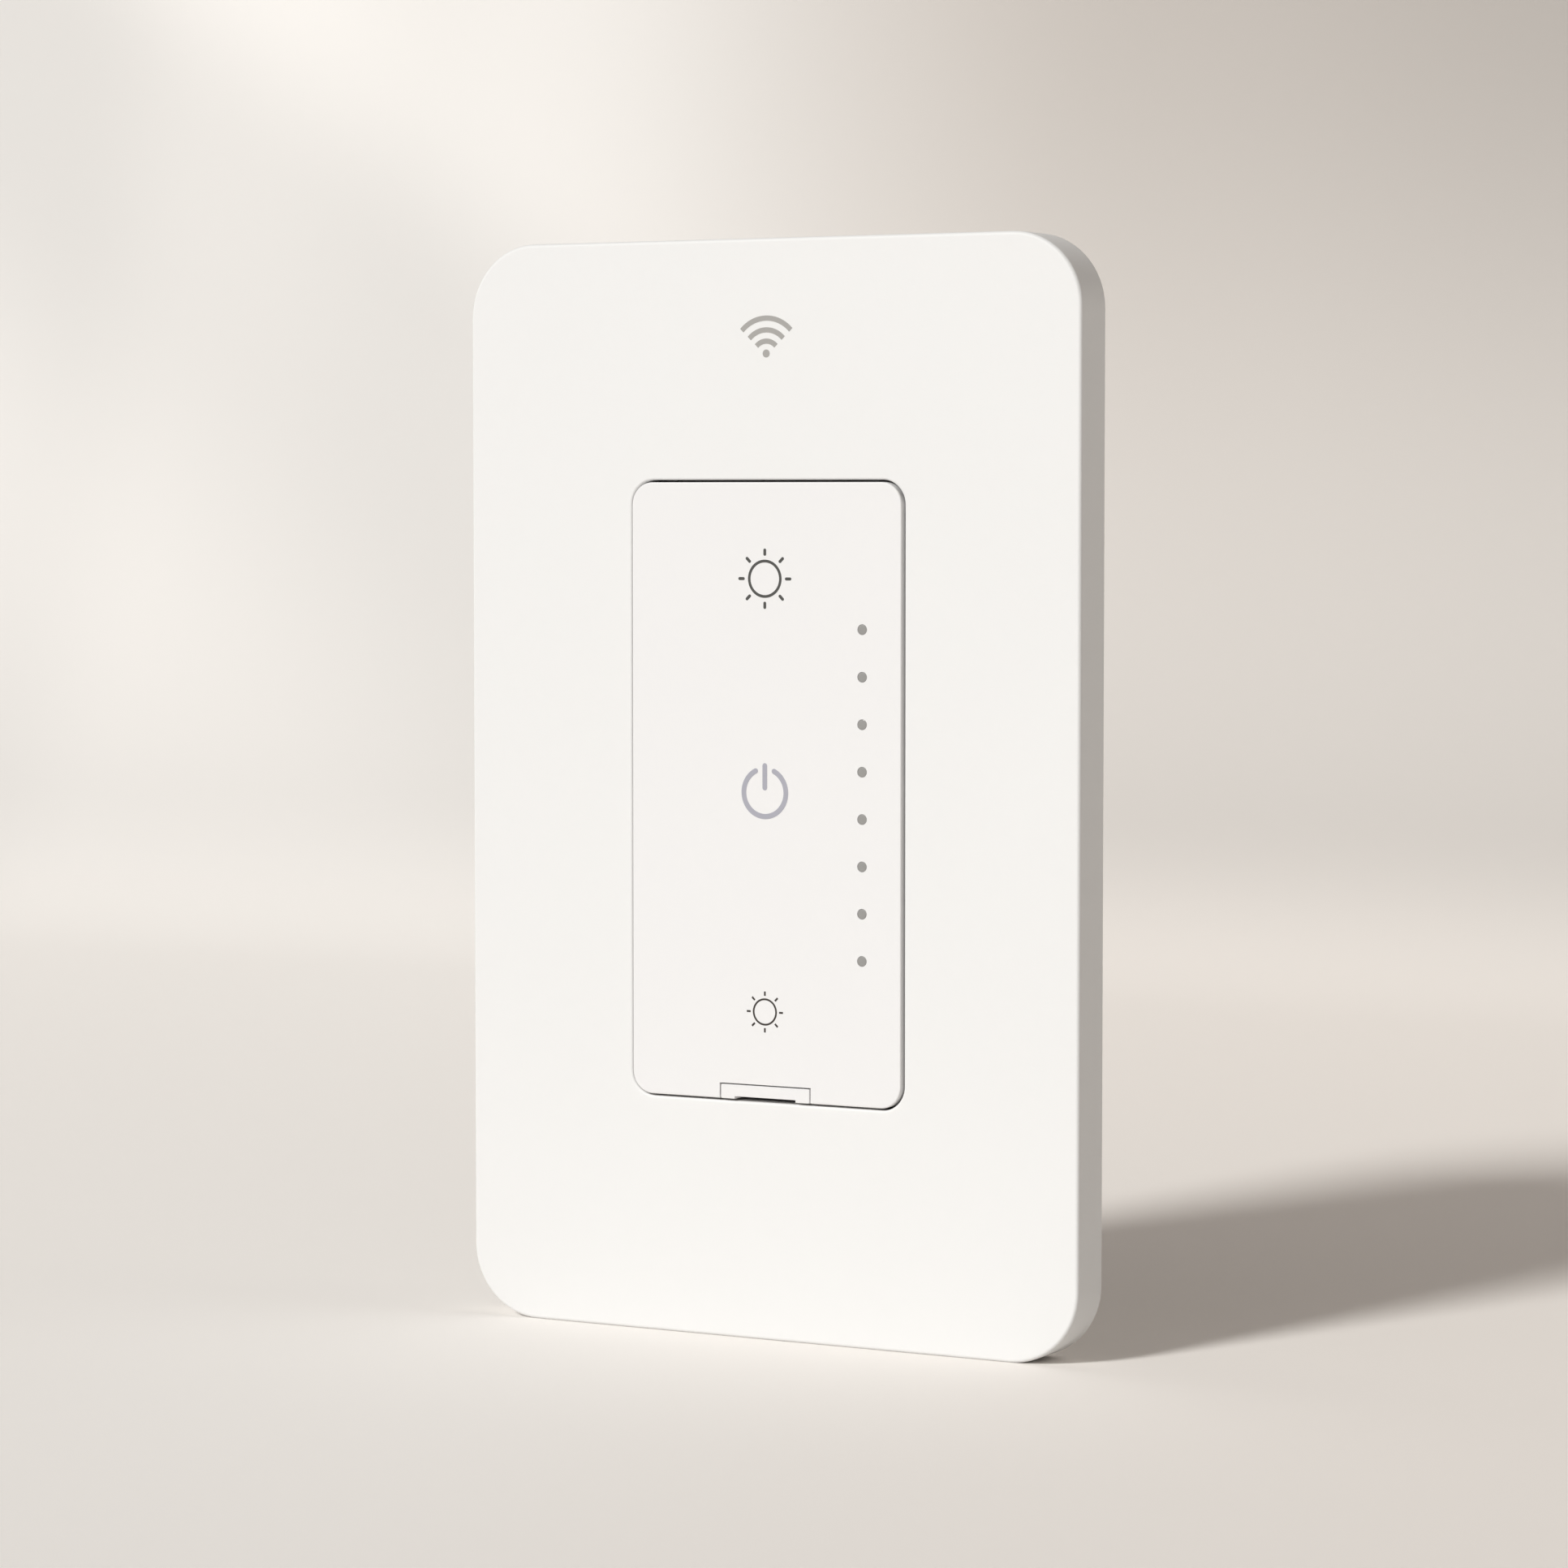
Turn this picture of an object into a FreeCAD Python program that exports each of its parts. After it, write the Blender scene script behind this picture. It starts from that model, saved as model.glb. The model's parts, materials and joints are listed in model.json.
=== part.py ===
import FreeCAD, Part
import math
import os

# Smart dimmer switch for a single wall box, with its clip-on wall plate.
# X runs to the viewer's right, Y runs from the room into the wall, Z runs up.
# The origin is the centre of the box-screw pattern, on the plane of the wall.

Vector = FreeCAD.Vector
tiny = 1e-6
AXIS_X = Vector(1, 0, 0)
AXIS_Y = Vector(0, 1, 0)
AXIS_Z = Vector(0, 0, 1)

# Driving sizes: the wall box's screws, and the wall plate with its opening
box_screw_spacing = 83.3
opening_width = 33.4
opening_corner = 2.7
plate_width = 74.4

# Steps in height, each from the piece before it to the next, inwards and then outwards
yoke_end_margin = 4.65
housing_end_margin = 1.5
window_end_margin = 1.2
opening_end_margin = 0.7
plate_screw_margin = 6.75
ear_end_margin = 4.0
plate_end_margin = 7.05

# Steps in width, from the level lights to the housing
light_arm_gap = 0.2
window_side_margin = 0.9
clip_side_gap = 1.2
yoke_side_margin = 0.3

# Wall plate, the part that clips on last
plate_wall = 1.8
plate_head_gap = 0.3
plate_rim_wall = 1.6
plate_corner = 8.0
plate_edge_bevel = 0.47
plate_edge_break = 0.22
opening_edge = 0.3
collar_wall = 1.2
plate_rib_thickness = 1.0
catch_depth = 0.7
catch_length = 12.0
catch_flat = 0.4
catch_slope = 0.7
catch_clearance = 0.05

# Sub-plate, screwed to the yoke, which holds the wall plate
sub_plate_thickness = 1.5
sub_plate_gap = 0.3
sub_plate_opening_gap = 0.5
sub_plate_rim_height = 1.2
sub_plate_rim_wall = 1.0
sub_plate_rim_inset = 1.5
head_window_width = 13.0
head_window_height = 8.0

# Yoke, the aluminium strap that is screwed to the box
yoke_thickness = 1.5
yoke_corner = 3.0
ear_width = 24.0
ear_corner = 4.0
window_corner = 2.0
slot_length = 7.0
slot_width = 4.0
heat_tab_height = 20.0
heat_tab_gap = 1.0
ground_lug_width = 8.0
ground_lug_depth = 9.5
ground_lug_inset = 9.0

# Screws
box_screw_radius = 1.75
box_screw_neck_radius = 1.45
box_screw_neck_end = -0.1
box_screw_end = 24.0
box_screw_head_radius = 3.4
box_screw_head_height = 2.0
plate_screw_radius = 1.75
plate_screw_end = 6.5
plate_screw_head_radius = 3.3
plate_screw_head_height = 0.9
housing_screw_radius = 1.1
housing_screw_head_radius = 2.3
housing_screw_end = 12.0
housing_screw_side_inset = 3.5
housing_screw_end_inset = 3.8
screw_clearance = 0.1
drive_width = 0.9
drive_depth = 0.7
retainer_radius = 2.15
retainer_thickness = 0.8
retainer_clearance = 0.05
ground_screw_radius = 1.7
ground_head_radius = 3.4
ground_head_height = 2.2
ground_head_sides = 6
ground_screw_reach = 1.3

# Front panel, one press piece that fills the opening
panel_gap = 0.25
panel_proud = 0.35
panel_wall = 1.5
panel_skirt_wall = 1.3
panel_edge = 0.35
panel_rib_height = 0.8
panel_rib_thickness = 0.8
panel_rib_inset = 11.4
key_post_width = 3.4
key_post_inset = 7.35
key_gap = 0.05
pivot_set_back = 1.25
pivot_radius = 0.8
pivot_clearance = 0.05
pivot_ear_length = 1.25
pivot_ear_half_height = 2.2

# Motion of the panel
press_travel = 0.4
tilt_angle = 0.6
running_clearance = 0.2
stop_clearance = 0.1

# Level lights
light_count = 8
light_pitch = 5.055
light_radius = 0.55
light_sides = 12
light_fit = 0.02
guide_width = 1.8
guide_thickness = 1.25
guide_end_margin = 0.9
baffle_width = 2.6
baffle_channel_width = 1.6
baffle_channel_height = 2.4
baffle_end_margin = 1.5
baffle_lip = 0.6
baffle_lip_length = 19.0
led_width = 1.2
led_length = 1.0
led_height = 0.7

# Panel carrier, which slides straight in and holds the panel's pivots
carrier_thickness = 1.2
carrier_corner = 1.5
carrier_side_margin = 2.5
carrier_end_inset = 3.0
carrier_arm_half_height = 1.4
carrier_arm_thickness = 0.8
pivot_arm_wall = 0.12
guide_post_width = 2.2
guide_post_clearance = 0.05
guide_post_light_gap = 4.3
guide_post_inset = 4.0
guide_sleeve_wall = 1.0
guide_sleeve_length = 2.7
spring_length = 10.0
spring_width = 3.0
spring_thickness = 0.25
spring_key_margin = 6.2
spring_pocket_depth = 1.2
spring_pocket_margin = 0.6

# Front frame, the moulding behind the yoke that guides the carrier
frame_flange = 1.5
frame_fit = 0.2
frame_recess = 0.1
key_hole_gap = 0.6
standoff_height = 4.5
standoff_width = 2.6
standoff_side_inset = 3.0
standoff_end_inset = 2.0

# Air-break tab, pulled forward with a fingernail
tab_width = 10.9
tab_height = 1.55
tab_gap = 0.15
tab_head_depth = 3.5
tab_stem_width = 7.0
tab_stem_height = 1.3
tab_stem_end = 9.5
tab_travel = 3.0
tab_barb_reach = 1.1
tab_barb_length = 1.0
tab_nail_width = 7.5
tab_nail_height = 0.3
tab_nail_depth = 2.0
tab_edge = 0.2

# Air-break contacts
leaf_thickness = 0.3
leaf_width = 6.0
leaf_gap = 0.1
leaf_leg_inset = 2.0
leaf_overlap = 0.325
contact_width = 4.0
contact_height = 1.2

# Keypad mat, soft rubber with three keys
mat_light_gap = 3.3
mat_thickness = 1.0
mat_end_margin = 4.0
key_radius = 2.8
key_clearance = 0.5

# Circuit boards
control_board_thickness = 1.2
control_board_side_gap = 0.5
control_board_end_gap = 3.9
power_board_thickness = 1.6
power_board_side_gap = 2.7
power_board_end_gap = 3.5
board_corner_gap = 0.5
board_edge_gap = 0.4

# Parts on the control board's back
processor_side = 7.0
processor_height = 0.9
processor_x = -4.0
processor_end_inset = 14.6
radio_width = 15.0
radio_height = 20.0
radio_board_thickness = 0.8
radio_side_gap = 1.7
radio_end_gap = 3.6
shield_width = 12.0
shield_height = 12.5
shield_depth = 2.0
shield_inset = 1.0
shield_edge = 0.5
connector_width = 2.5
connector_height = 20.0
connector_side_inset = 5.5
connector_z = 4.0

# Power transistors on the heat tab, with their pads and clip
transistor_width = 8.0
transistor_tab_thickness = 1.3
transistor_tab_length = 3.8
transistor_body_thickness = 4.3
transistor_body_length = 6.6
transistor_front_gap = 0.7
transistor_end_gap = 0.4
transistor_spacing = 9.2
pad_thickness = 0.3
leg_width = 0.8
leg_pitch = 2.54
clip_thickness = 0.4
clip_width = 2.9
clip_reach = 4.0

# Parts on the power board's back
choke_outer_radius = 8.6
choke_inner_radius = 3.4
choke_depth = 5.4
choke_side_gap = 0.6
film_width = 12.0
film_depth = 7.6
film_height = 6.0
film_edge = 0.6
film_side_gap = 0.6
film_z = 4.2
electrolytic_radius = 3.9
electrolytic_length = 11.0
electrolytic_side_gap = 1.5
electrolytic_z = -5.2
transformer_width = 12.5
transformer_depth = 8.2
transformer_height = 11.0
core_height = 5.5
bobbin_width = 8.8
bobbin_depth = 7.0
transformer_side_gap = 1.25
transformer_end_gap = 1.0
fuse_radius = 2.0
fuse_length = 8.0
fuse_x = 5.6
fuse_end_inset = 8.0
varistor_radius = 4.1
varistor_thickness = 3.4
varistor_x = -3.0
varistor_end_inset = 8.0

# Wire terminals
terminal_width = 6.0
terminal_height = 8.0
terminal_end_inset = 10.0
terminal_back_gap = 0.3
terminal_floor = 1.2
terminal_wire_width = 3.0
terminal_entry_width = 3.4
terminal_screw_radius = 1.4
terminal_head_radius = 2.9
terminal_head_height = 1.7
terminal_head_gap = 0.3

# Rear housing
housing_wall = 1.5
housing_corner = 3.0
housing_draft = 0.7
housing_edge = 0.8
housing_back_gap = 0.7
boss_half_width = 2.6
boss_bore_depth = 12.5
ledge_height = 3.0
ledge_terminal_gap = 6.5
vent_width = 1.2
vent_length = 14.0
vent_pitch = 3.0
vent_count = 5

# Heights that the sizes above give
yoke_body_height = box_screw_spacing - 2 * yoke_end_margin
housing_height = yoke_body_height - 2 * housing_end_margin
window_height = housing_height - 2 * window_end_margin
opening_height = window_height - 2 * opening_end_margin
plate_screw_spacing = box_screw_spacing + 2 * plate_screw_margin
ear_height = plate_screw_spacing + 2 * ear_end_margin
plate_height = ear_height + 2 * plate_end_margin
control_board_height = housing_height - 2 * control_board_end_gap
power_board_height = housing_height - 2 * power_board_end_gap

# Panel and level lights
panel_width = opening_width - 2 * panel_gap
panel_height = opening_height - 2 * panel_gap
panel_corner = opening_corner - panel_gap
pivot_arm_end = panel_width / 2 - panel_skirt_wall - pivot_ear_length - running_clearance
pivot_arm_start = pivot_arm_end - carrier_arm_thickness
light_x = pivot_arm_start - light_arm_gap - guide_width / 2
light_span = (light_count - 1) * light_pitch
key_post_z = panel_height / 2 - key_post_inset
tab_bottom = -panel_height / 2
tab_top = tab_bottom + tab_height
tab_middle = (tab_bottom + tab_top) / 2
notch_top = tab_top + tab_gap
notch_half_width = tab_width / 2 + tab_gap

# Widths that the sizes above give
window_width = 2 * (light_x + baffle_width / 2 + window_side_margin)
clip_reach_left = window_width / 2 + pad_thickness + transistor_body_thickness + clip_thickness
housing_width = 2 * (clip_reach_left + clip_side_gap + housing_wall)
yoke_width = housing_width + 2 * yoke_side_margin
control_board_width = window_width - 2 * control_board_side_gap
power_board_width = housing_width - 2 * power_board_side_gap
mat_width = 2 * (light_x - mat_light_gap)

# Places along Y that the sizes above give
yoke_front = -yoke_thickness
sub_plate_front = yoke_front - sub_plate_thickness
plate_inner = sub_plate_front - plate_screw_head_height - plate_head_gap
plate_front = plate_inner - plate_wall
panel_front = plate_front - panel_proud
panel_inner = panel_front + panel_wall
panel_swing = panel_height / 2 * math.tan(math.radians(tilt_angle))
panel_back = yoke_front - press_travel - panel_swing - running_clearance
pivot_y = panel_inner + pivot_set_back
frame_front = yoke_front + frame_recess
frame_back = frame_flange
carrier_back = frame_front - press_travel - stop_clearance
carrier_front = carrier_back - carrier_thickness
control_board_front = frame_back + standoff_height
control_board_back = control_board_front + control_board_thickness
transistor_length = transistor_tab_length + transistor_body_length
transistor_front = frame_back + transistor_front_gap
heat_tab_depth = transistor_front + transistor_length + transistor_end_gap
power_board_front = heat_tab_depth + heat_tab_gap
power_board_back = power_board_front + power_board_thickness
tallest_part = max(transformer_depth, film_depth, 2 * electrolytic_radius, 2 * varistor_radius)
housing_inner_back = power_board_back + tallest_part + housing_back_gap
housing_depth = housing_inner_back + housing_wall
mat_front = control_board_front - mat_thickness
key_front = frame_back + key_clearance
key_post_end = key_front - key_gap
terminal_screw_y = (power_board_back + housing_inner_back) / 2
ground_screw_y = ground_lug_depth / 2

# Places across X and Z that the sizes above give
guide_post_x = light_x - guide_post_light_gap
guide_post_z = key_post_z - carrier_end_inset - guide_post_inset
carrier_width = 2 * (guide_post_x + carrier_side_margin)
carrier_height = 2 * (key_post_z - carrier_end_inset)
panel_rib_x = panel_width / 2 - panel_rib_inset
panel_rib_z = key_post_z + (key_post_width + panel_rib_thickness) / 2
spring_z = key_post_width / 2 + key_hole_gap + spring_key_margin + spring_width / 2
standoff_x = control_board_width / 2 - standoff_side_inset
standoff_z = control_board_height / 2 - standoff_end_inset
housing_screw_x = housing_width / 2 - housing_screw_side_inset
housing_screw_z = housing_height / 2 - housing_screw_end_inset
ground_lug_x = yoke_width / 2 - ground_lug_inset
heat_tab_left = -window_width / 2
heat_tab_right = heat_tab_left + yoke_thickness
board_notch_right = heat_tab_right + clip_thickness + board_edge_gap
processor_z = control_board_height / 2 - processor_end_inset
radio_x = board_notch_right + radio_side_gap + radio_width / 2
radio_z = radio_end_gap + radio_height / 2 - control_board_height / 2
connector_x = control_board_width / 2 - connector_side_inset
terminal_x = (power_board_width - terminal_width) / 2
terminal_z = power_board_height / 2 - terminal_end_inset
terminal_inner = terminal_x - terminal_width / 2
terminal_outer = terminal_x + terminal_width / 2
ledge_z = terminal_z - ledge_terminal_gap
choke_x = choke_side_gap + choke_outer_radius - power_board_width / 2
film_x = power_board_width / 2 - film_side_gap - film_width / 2
electrolytic_x = power_board_width / 2 - electrolytic_side_gap - electrolytic_radius
transformer_x = transformer_side_gap + transformer_width / 2 - terminal_inner
transformer_z = transformer_end_gap + transformer_height / 2 - power_board_height / 2
fuse_z = power_board_height / 2 - fuse_end_inset
varistor_z = power_board_height / 2 - varistor_end_inset


def both(value):
    return (-value, value)


def housing_screw_places():
    """The two opposite corners where the housing screws go."""
    return [(housing_screw_x, -housing_screw_z), (-housing_screw_x, housing_screw_z)]


def corners(x, z):
    return [(sx, sz) for sx in both(x) for sz in both(z)]


def light_places():
    return [light_span / 2 - index * light_pitch for index in range(light_count)]


def box(x, y, z):
    """A block given by its low and high limits along each axis."""
    size = [high - low for low, high in (x, y, z)]
    return Part.makeBox(*size, Vector(x[0], y[0], z[0]))


def rod(radius, start, end, axis=AXIS_Y, x=0.0, y=0.0, z=0.0):
    """A round bar along an axis, from start to end, through the place given."""
    base = Vector(x, y, z) + axis * start
    return Part.makeCylinder(radius, end - start, base, axis)


def post(width, start, end, x=0.0, z=0.0):
    """A square bar along Y, centred at x and z."""
    half = width / 2
    return box((x - half, x + half), (start, end), (z - half, z + half))


def light_stud(radius, start, end, z):
    """One light window, a slim many-sided bar along Y."""
    points = []
    for index in range(light_sides):
        turn = math.radians(360 * (index + 0.5) / light_sides)
        points.append(Vector(light_x + radius * math.cos(turn), start, z + radius * math.sin(turn)))
    return profile_bar(points, AXIS_Y * (end - start))


def cone(radius_start, radius_end, start, end, x=0.0, z=0.0):
    return Part.makeCone(radius_start, radius_end, end - start, Vector(x, start, z), AXIS_Y)


def rounded_wire(width, height, radius, y, x=0.0, z=0.0):
    """A rounded rectangle that faces along Y."""
    half_w, half_h = width / 2, height / 2
    diagonal = radius * (1 - math.sqrt(0.5))

    def point(dx, dz):
        return Vector(x + dx, y, z + dz)

    edges = []
    for sx, sz in ((1, 1), (1, -1), (-1, -1), (-1, 1)):
        along = point(sx * half_w, sz * (half_h - radius))
        across = point(sx * (half_w - radius), sz * half_h)
        middle = point(sx * (half_w - diagonal), sz * (half_h - diagonal))
        first, last = (across, along) if sx * sz > 0 else (along, across)
        if edges:
            edges.append(Part.makeLine(edges[-1].lastVertex(True).Point, first))
        edges.append(Part.Arc(first, middle, last).toShape())
    edges.append(Part.makeLine(edges[-1].lastVertex(True).Point, edges[0].firstVertex(True).Point))
    return Part.Wire(edges)


def rounded_block(width, height, radius, y_start, y_end, x=0.0, z=0.0):
    """A rounded rectangle drawn back along Y."""
    face = Part.Face(rounded_wire(width, height, radius, y_start, x, z))
    return face.extrude(AXIS_Y * (y_end - y_start))


def profile_bar(points, direction):
    """A closed outline of straight lines, drawn along a direction."""
    return Part.Face(Part.makePolygon(points + points[:1])).extrude(direction)


def front_edges(shape, y, reach=None):
    """The edges that lie on one plane of constant Y, within a reach from the middle if one is given."""
    found = []
    for edge in shape.Edges:
        bounds = edge.BoundBox
        if abs(bounds.YMin - y) > tiny or abs(bounds.YMax - y) > tiny:
            continue
        if reach is None or max(-bounds.XMin, bounds.XMax) < reach:
            found.append(edge)
    return found


def write(name, solids):
    """Writes one node; several solids become one group of separate solids."""
    shape = solids if isinstance(solids, Part.Shape) else Part.makeCompound(solids)
    for solid in shape.Solids:
        if not solid.isValid():
            raise ValueError("broken solid in " + name)
    shape.exportStep(os.path.join("parts", name + ".step"))


# Wall plate
def catch_ridge(length, reach, turned):
    """A catch inside the rim, square in front and sloped behind."""
    front = yoke_front + catch_clearance
    outline = [
        (reach, front),
        (reach - catch_depth, front),
        (reach - catch_depth, front + catch_flat),
        (reach, front + catch_flat + catch_slope),
    ]
    if turned:
        points = [Vector(-length / 2, y, r) for r, y in outline]
        return profile_bar(points, AXIS_X * length)
    points = [Vector(r, y, -length / 2) for r, y in outline]
    return profile_bar(points, AXIS_Z * length)


def catch_ridges():
    cavity_width = plate_width - 2 * plate_rim_wall
    cavity_height = plate_height - 2 * plate_rim_wall
    side = catch_ridge(catch_length, cavity_width / 2, False)
    end = catch_ridge(catch_length, cavity_height / 2, True)
    ridges = []
    for z in both(plate_height / 4):
        right = side.translated(Vector(0, 0, z))
        ridges += [right, right.mirror(Vector(), AXIS_X)]
    ridges += [end, end.mirror(Vector(), AXIS_Z)]
    return ridges


def plate_ribs():
    """Ribs from the collar to the rim, which rest on the sub-plate."""
    half_t = plate_rib_thickness / 2
    depth = (plate_inner, sub_plate_front)
    half_collar_w = opening_width / 2 + collar_wall / 2
    half_collar_h = opening_height / 2 + collar_wall / 2
    inner_w = plate_width / 2 - plate_rim_wall / 2
    inner_h = plate_height / 2 - plate_rim_wall / 2
    ribs = []
    for z in (-opening_height / 4, opening_height / 4):
        for x in ((-inner_w, -half_collar_w), (half_collar_w, inner_w)):
            ribs.append(box(x, depth, (z - half_t, z + half_t)))
    for x in both(opening_width / 4):
        for z in ((-inner_h, -half_collar_h), (half_collar_h, inner_h)):
            ribs.append(box((x - half_t, x + half_t), depth, z))
    return ribs


def make_wall_plate():
    cavity_width = plate_width - 2 * plate_rim_wall
    cavity_height = plate_height - 2 * plate_rim_wall
    cavity_corner = plate_corner - plate_rim_wall
    body = rounded_block(plate_width, plate_height, plate_corner, plate_front, 0)
    body = body.makeChamfer(plate_edge_bevel, front_edges(body, plate_front))
    rims = front_edges(body, plate_front) + front_edges(body, plate_front + plate_edge_bevel)
    body = body.makeChamfer(plate_edge_break, rims)
    body = body.cut(rounded_block(cavity_width, cavity_height, cavity_corner, plate_inner, 0))
    collar = rounded_block(
        opening_width + 2 * collar_wall,
        opening_height + 2 * collar_wall,
        opening_corner + collar_wall,
        plate_inner,
        sub_plate_front,
    )
    body = body.fuse([collar] + plate_ribs() + catch_ridges()).removeSplitter()
    body = body.cut(
        rounded_block(opening_width, opening_height, opening_corner, plate_front, sub_plate_front)
    )
    opening_reach = (opening_width + plate_width) / 4
    return body.makeChamfer(opening_edge, front_edges(body, plate_front, opening_reach))


# Sub-plate
def make_sub_plate():
    width = plate_width - 2 * plate_rim_wall - 2 * sub_plate_gap
    height = plate_height - 2 * plate_rim_wall - 2 * sub_plate_gap
    corner = plate_corner - plate_rim_wall - sub_plate_gap
    body = rounded_block(width, height, corner, sub_plate_front, yoke_front)
    inset = sub_plate_rim_inset
    rim_depth = (yoke_front, yoke_front + sub_plate_rim_height)
    rim = rounded_block(width - 2 * inset, height - 2 * inset, corner - inset, *rim_depth)
    inset += sub_plate_rim_wall
    rim = rim.cut(rounded_block(width - 2 * inset, height - 2 * inset, corner - inset, *rim_depth))
    body = body.fuse(rim).removeSplitter()
    gap = sub_plate_opening_gap
    cuts = [
        rounded_block(
            opening_width + 2 * gap,
            opening_height + 2 * gap,
            opening_corner + gap,
            sub_plate_front,
            yoke_front,
        )
    ]
    depth = (sub_plate_front, yoke_front)
    half_w, half_h = head_window_width / 2, head_window_height / 2
    for z in both(box_screw_spacing / 2):
        cuts.append(box(both(half_w), depth, (z - half_h, z + half_h)))
    for z in both(plate_screw_spacing / 2):
        cuts.append(rod(plate_screw_radius + screw_clearance, *depth, z=z))
    return body.cut(cuts)


# Yoke
def yoke_outline():
    body = rounded_block(yoke_width, yoke_body_height, yoke_corner, yoke_front, 0)
    ears = rounded_block(ear_width, ear_height, ear_corner, yoke_front, 0)
    return body.fuse(ears)


def heat_tab():
    """A tab bent back from the window's left edge, which cools the transistors."""
    return box(
        (heat_tab_left, heat_tab_right),
        (yoke_front, heat_tab_depth),
        both(heat_tab_height / 2),
    )


def ground_lug():
    """A tab bent back under the housing, which takes the ground screw."""
    x = (ground_lug_x - ground_lug_width / 2, ground_lug_x + ground_lug_width / 2)
    low = -yoke_body_height / 2 - yoke_thickness
    return box(x, (yoke_front, ground_lug_depth), (low, low + yoke_thickness))


def make_yoke():
    body = yoke_outline()
    body = body.cut(rounded_block(window_width, window_height, window_corner, yoke_front, 0))
    body = body.fuse([heat_tab(), ground_lug()]).removeSplitter()
    cuts = []
    for z in both(box_screw_spacing / 2):
        slot_z = (z - slot_width / 2, z + slot_width / 2)
        cuts.append(box(both(slot_length / 2), (yoke_front, 0), slot_z))
    for z in both(plate_screw_spacing / 2):
        cuts.append(rod(plate_screw_radius + screw_clearance, yoke_front, 0, z=z))
    for x, z in housing_screw_places():
        cuts.append(housing_screw_body(x, z, screw_clearance))
    lug_low = -yoke_body_height / 2 - yoke_thickness
    hole = rod(
        ground_screw_radius + screw_clearance,
        lug_low,
        lug_low + yoke_thickness,
        AXIS_Z,
        x=ground_lug_x,
        y=ground_screw_y,
    )
    return body.cut(cuts + [hole])


# Screws
def drive_slot(radius, front, x=0.0, z=0.0):
    return box(
        (x - radius, x + radius),
        (front, front + drive_depth),
        (z - drive_width / 2, z + drive_width / 2),
    )


def make_plate_screws():
    """The two screws that hold the sub-plate on the yoke."""
    screws = []
    head_front = sub_plate_front - plate_screw_head_height
    for z in both(plate_screw_spacing / 2):
        head = rod(plate_screw_head_radius, head_front, sub_plate_front, z=z)
        screw = head.fuse(rod(plate_screw_radius, sub_plate_front, plate_screw_end, z=z))
        screws.append(screw.cut(drive_slot(plate_screw_head_radius, head_front, z=z)))
    return screws


def make_box_screws():
    """The two captive screws that fix the strap to the wall box."""
    screws = []
    head_front = yoke_front - box_screw_head_height
    for z in both(box_screw_spacing / 2):
        head = rod(box_screw_head_radius, head_front, yoke_front, z=z)
        neck = rod(box_screw_neck_radius, yoke_front, box_screw_neck_end, z=z)
        shank = rod(box_screw_radius, box_screw_neck_end, box_screw_end, z=z)
        screw = head.fuse([neck, shank])
        screws.append(screw.cut(drive_slot(box_screw_head_radius, head_front, z=z)))
    return screws


def make_screw_retainers():
    """Fibre rings behind the yoke, wider than its slots, that keep the box screws in them."""
    rings = []
    hole = box_screw_radius + retainer_clearance
    for z in both(box_screw_spacing / 2):
        ring = rod(retainer_radius, 0, retainer_thickness, z=z)
        rings.append(ring.cut(rod(hole, 0, retainer_thickness, z=z)))
    return rings


def housing_screw_body(x, z, gap):
    """A flush countersunk screw through the yoke and the frame."""
    taper = housing_screw_head_radius - housing_screw_radius
    radius = housing_screw_radius + gap
    head = cone(housing_screw_head_radius + gap, radius, yoke_front, yoke_front + taper, x, z)
    return head.fuse(rod(radius, yoke_front + taper, housing_screw_end, x=x, z=z))


def make_housing_screws():
    return [housing_screw_body(x, z, 0).removeSplitter() for x, z in housing_screw_places()]


def make_ground_screw():
    lug_low = -yoke_body_height / 2 - yoke_thickness
    head_low = lug_low - ground_head_height
    points = []
    for index in range(ground_head_sides):
        turn = math.radians(360 * index / ground_head_sides)
        x = ground_lug_x + ground_head_radius * math.cos(turn)
        y = ground_screw_y + ground_head_radius * math.sin(turn)
        points.append(Vector(x, y, head_low))
    head = profile_bar(points, AXIS_Z * ground_head_height)
    shank_top = lug_low + yoke_thickness + ground_screw_reach
    shank = rod(
        ground_screw_radius, lug_low, shank_top, AXIS_Z, x=ground_lug_x, y=ground_screw_y
    )
    slot = box(
        (ground_lug_x - ground_head_radius, ground_lug_x + ground_head_radius),
        (ground_screw_y - drive_width / 2, ground_screw_y + drive_width / 2),
        (head_low, head_low + drive_depth),
    )
    return head.fuse(shank).cut(slot)


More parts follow.
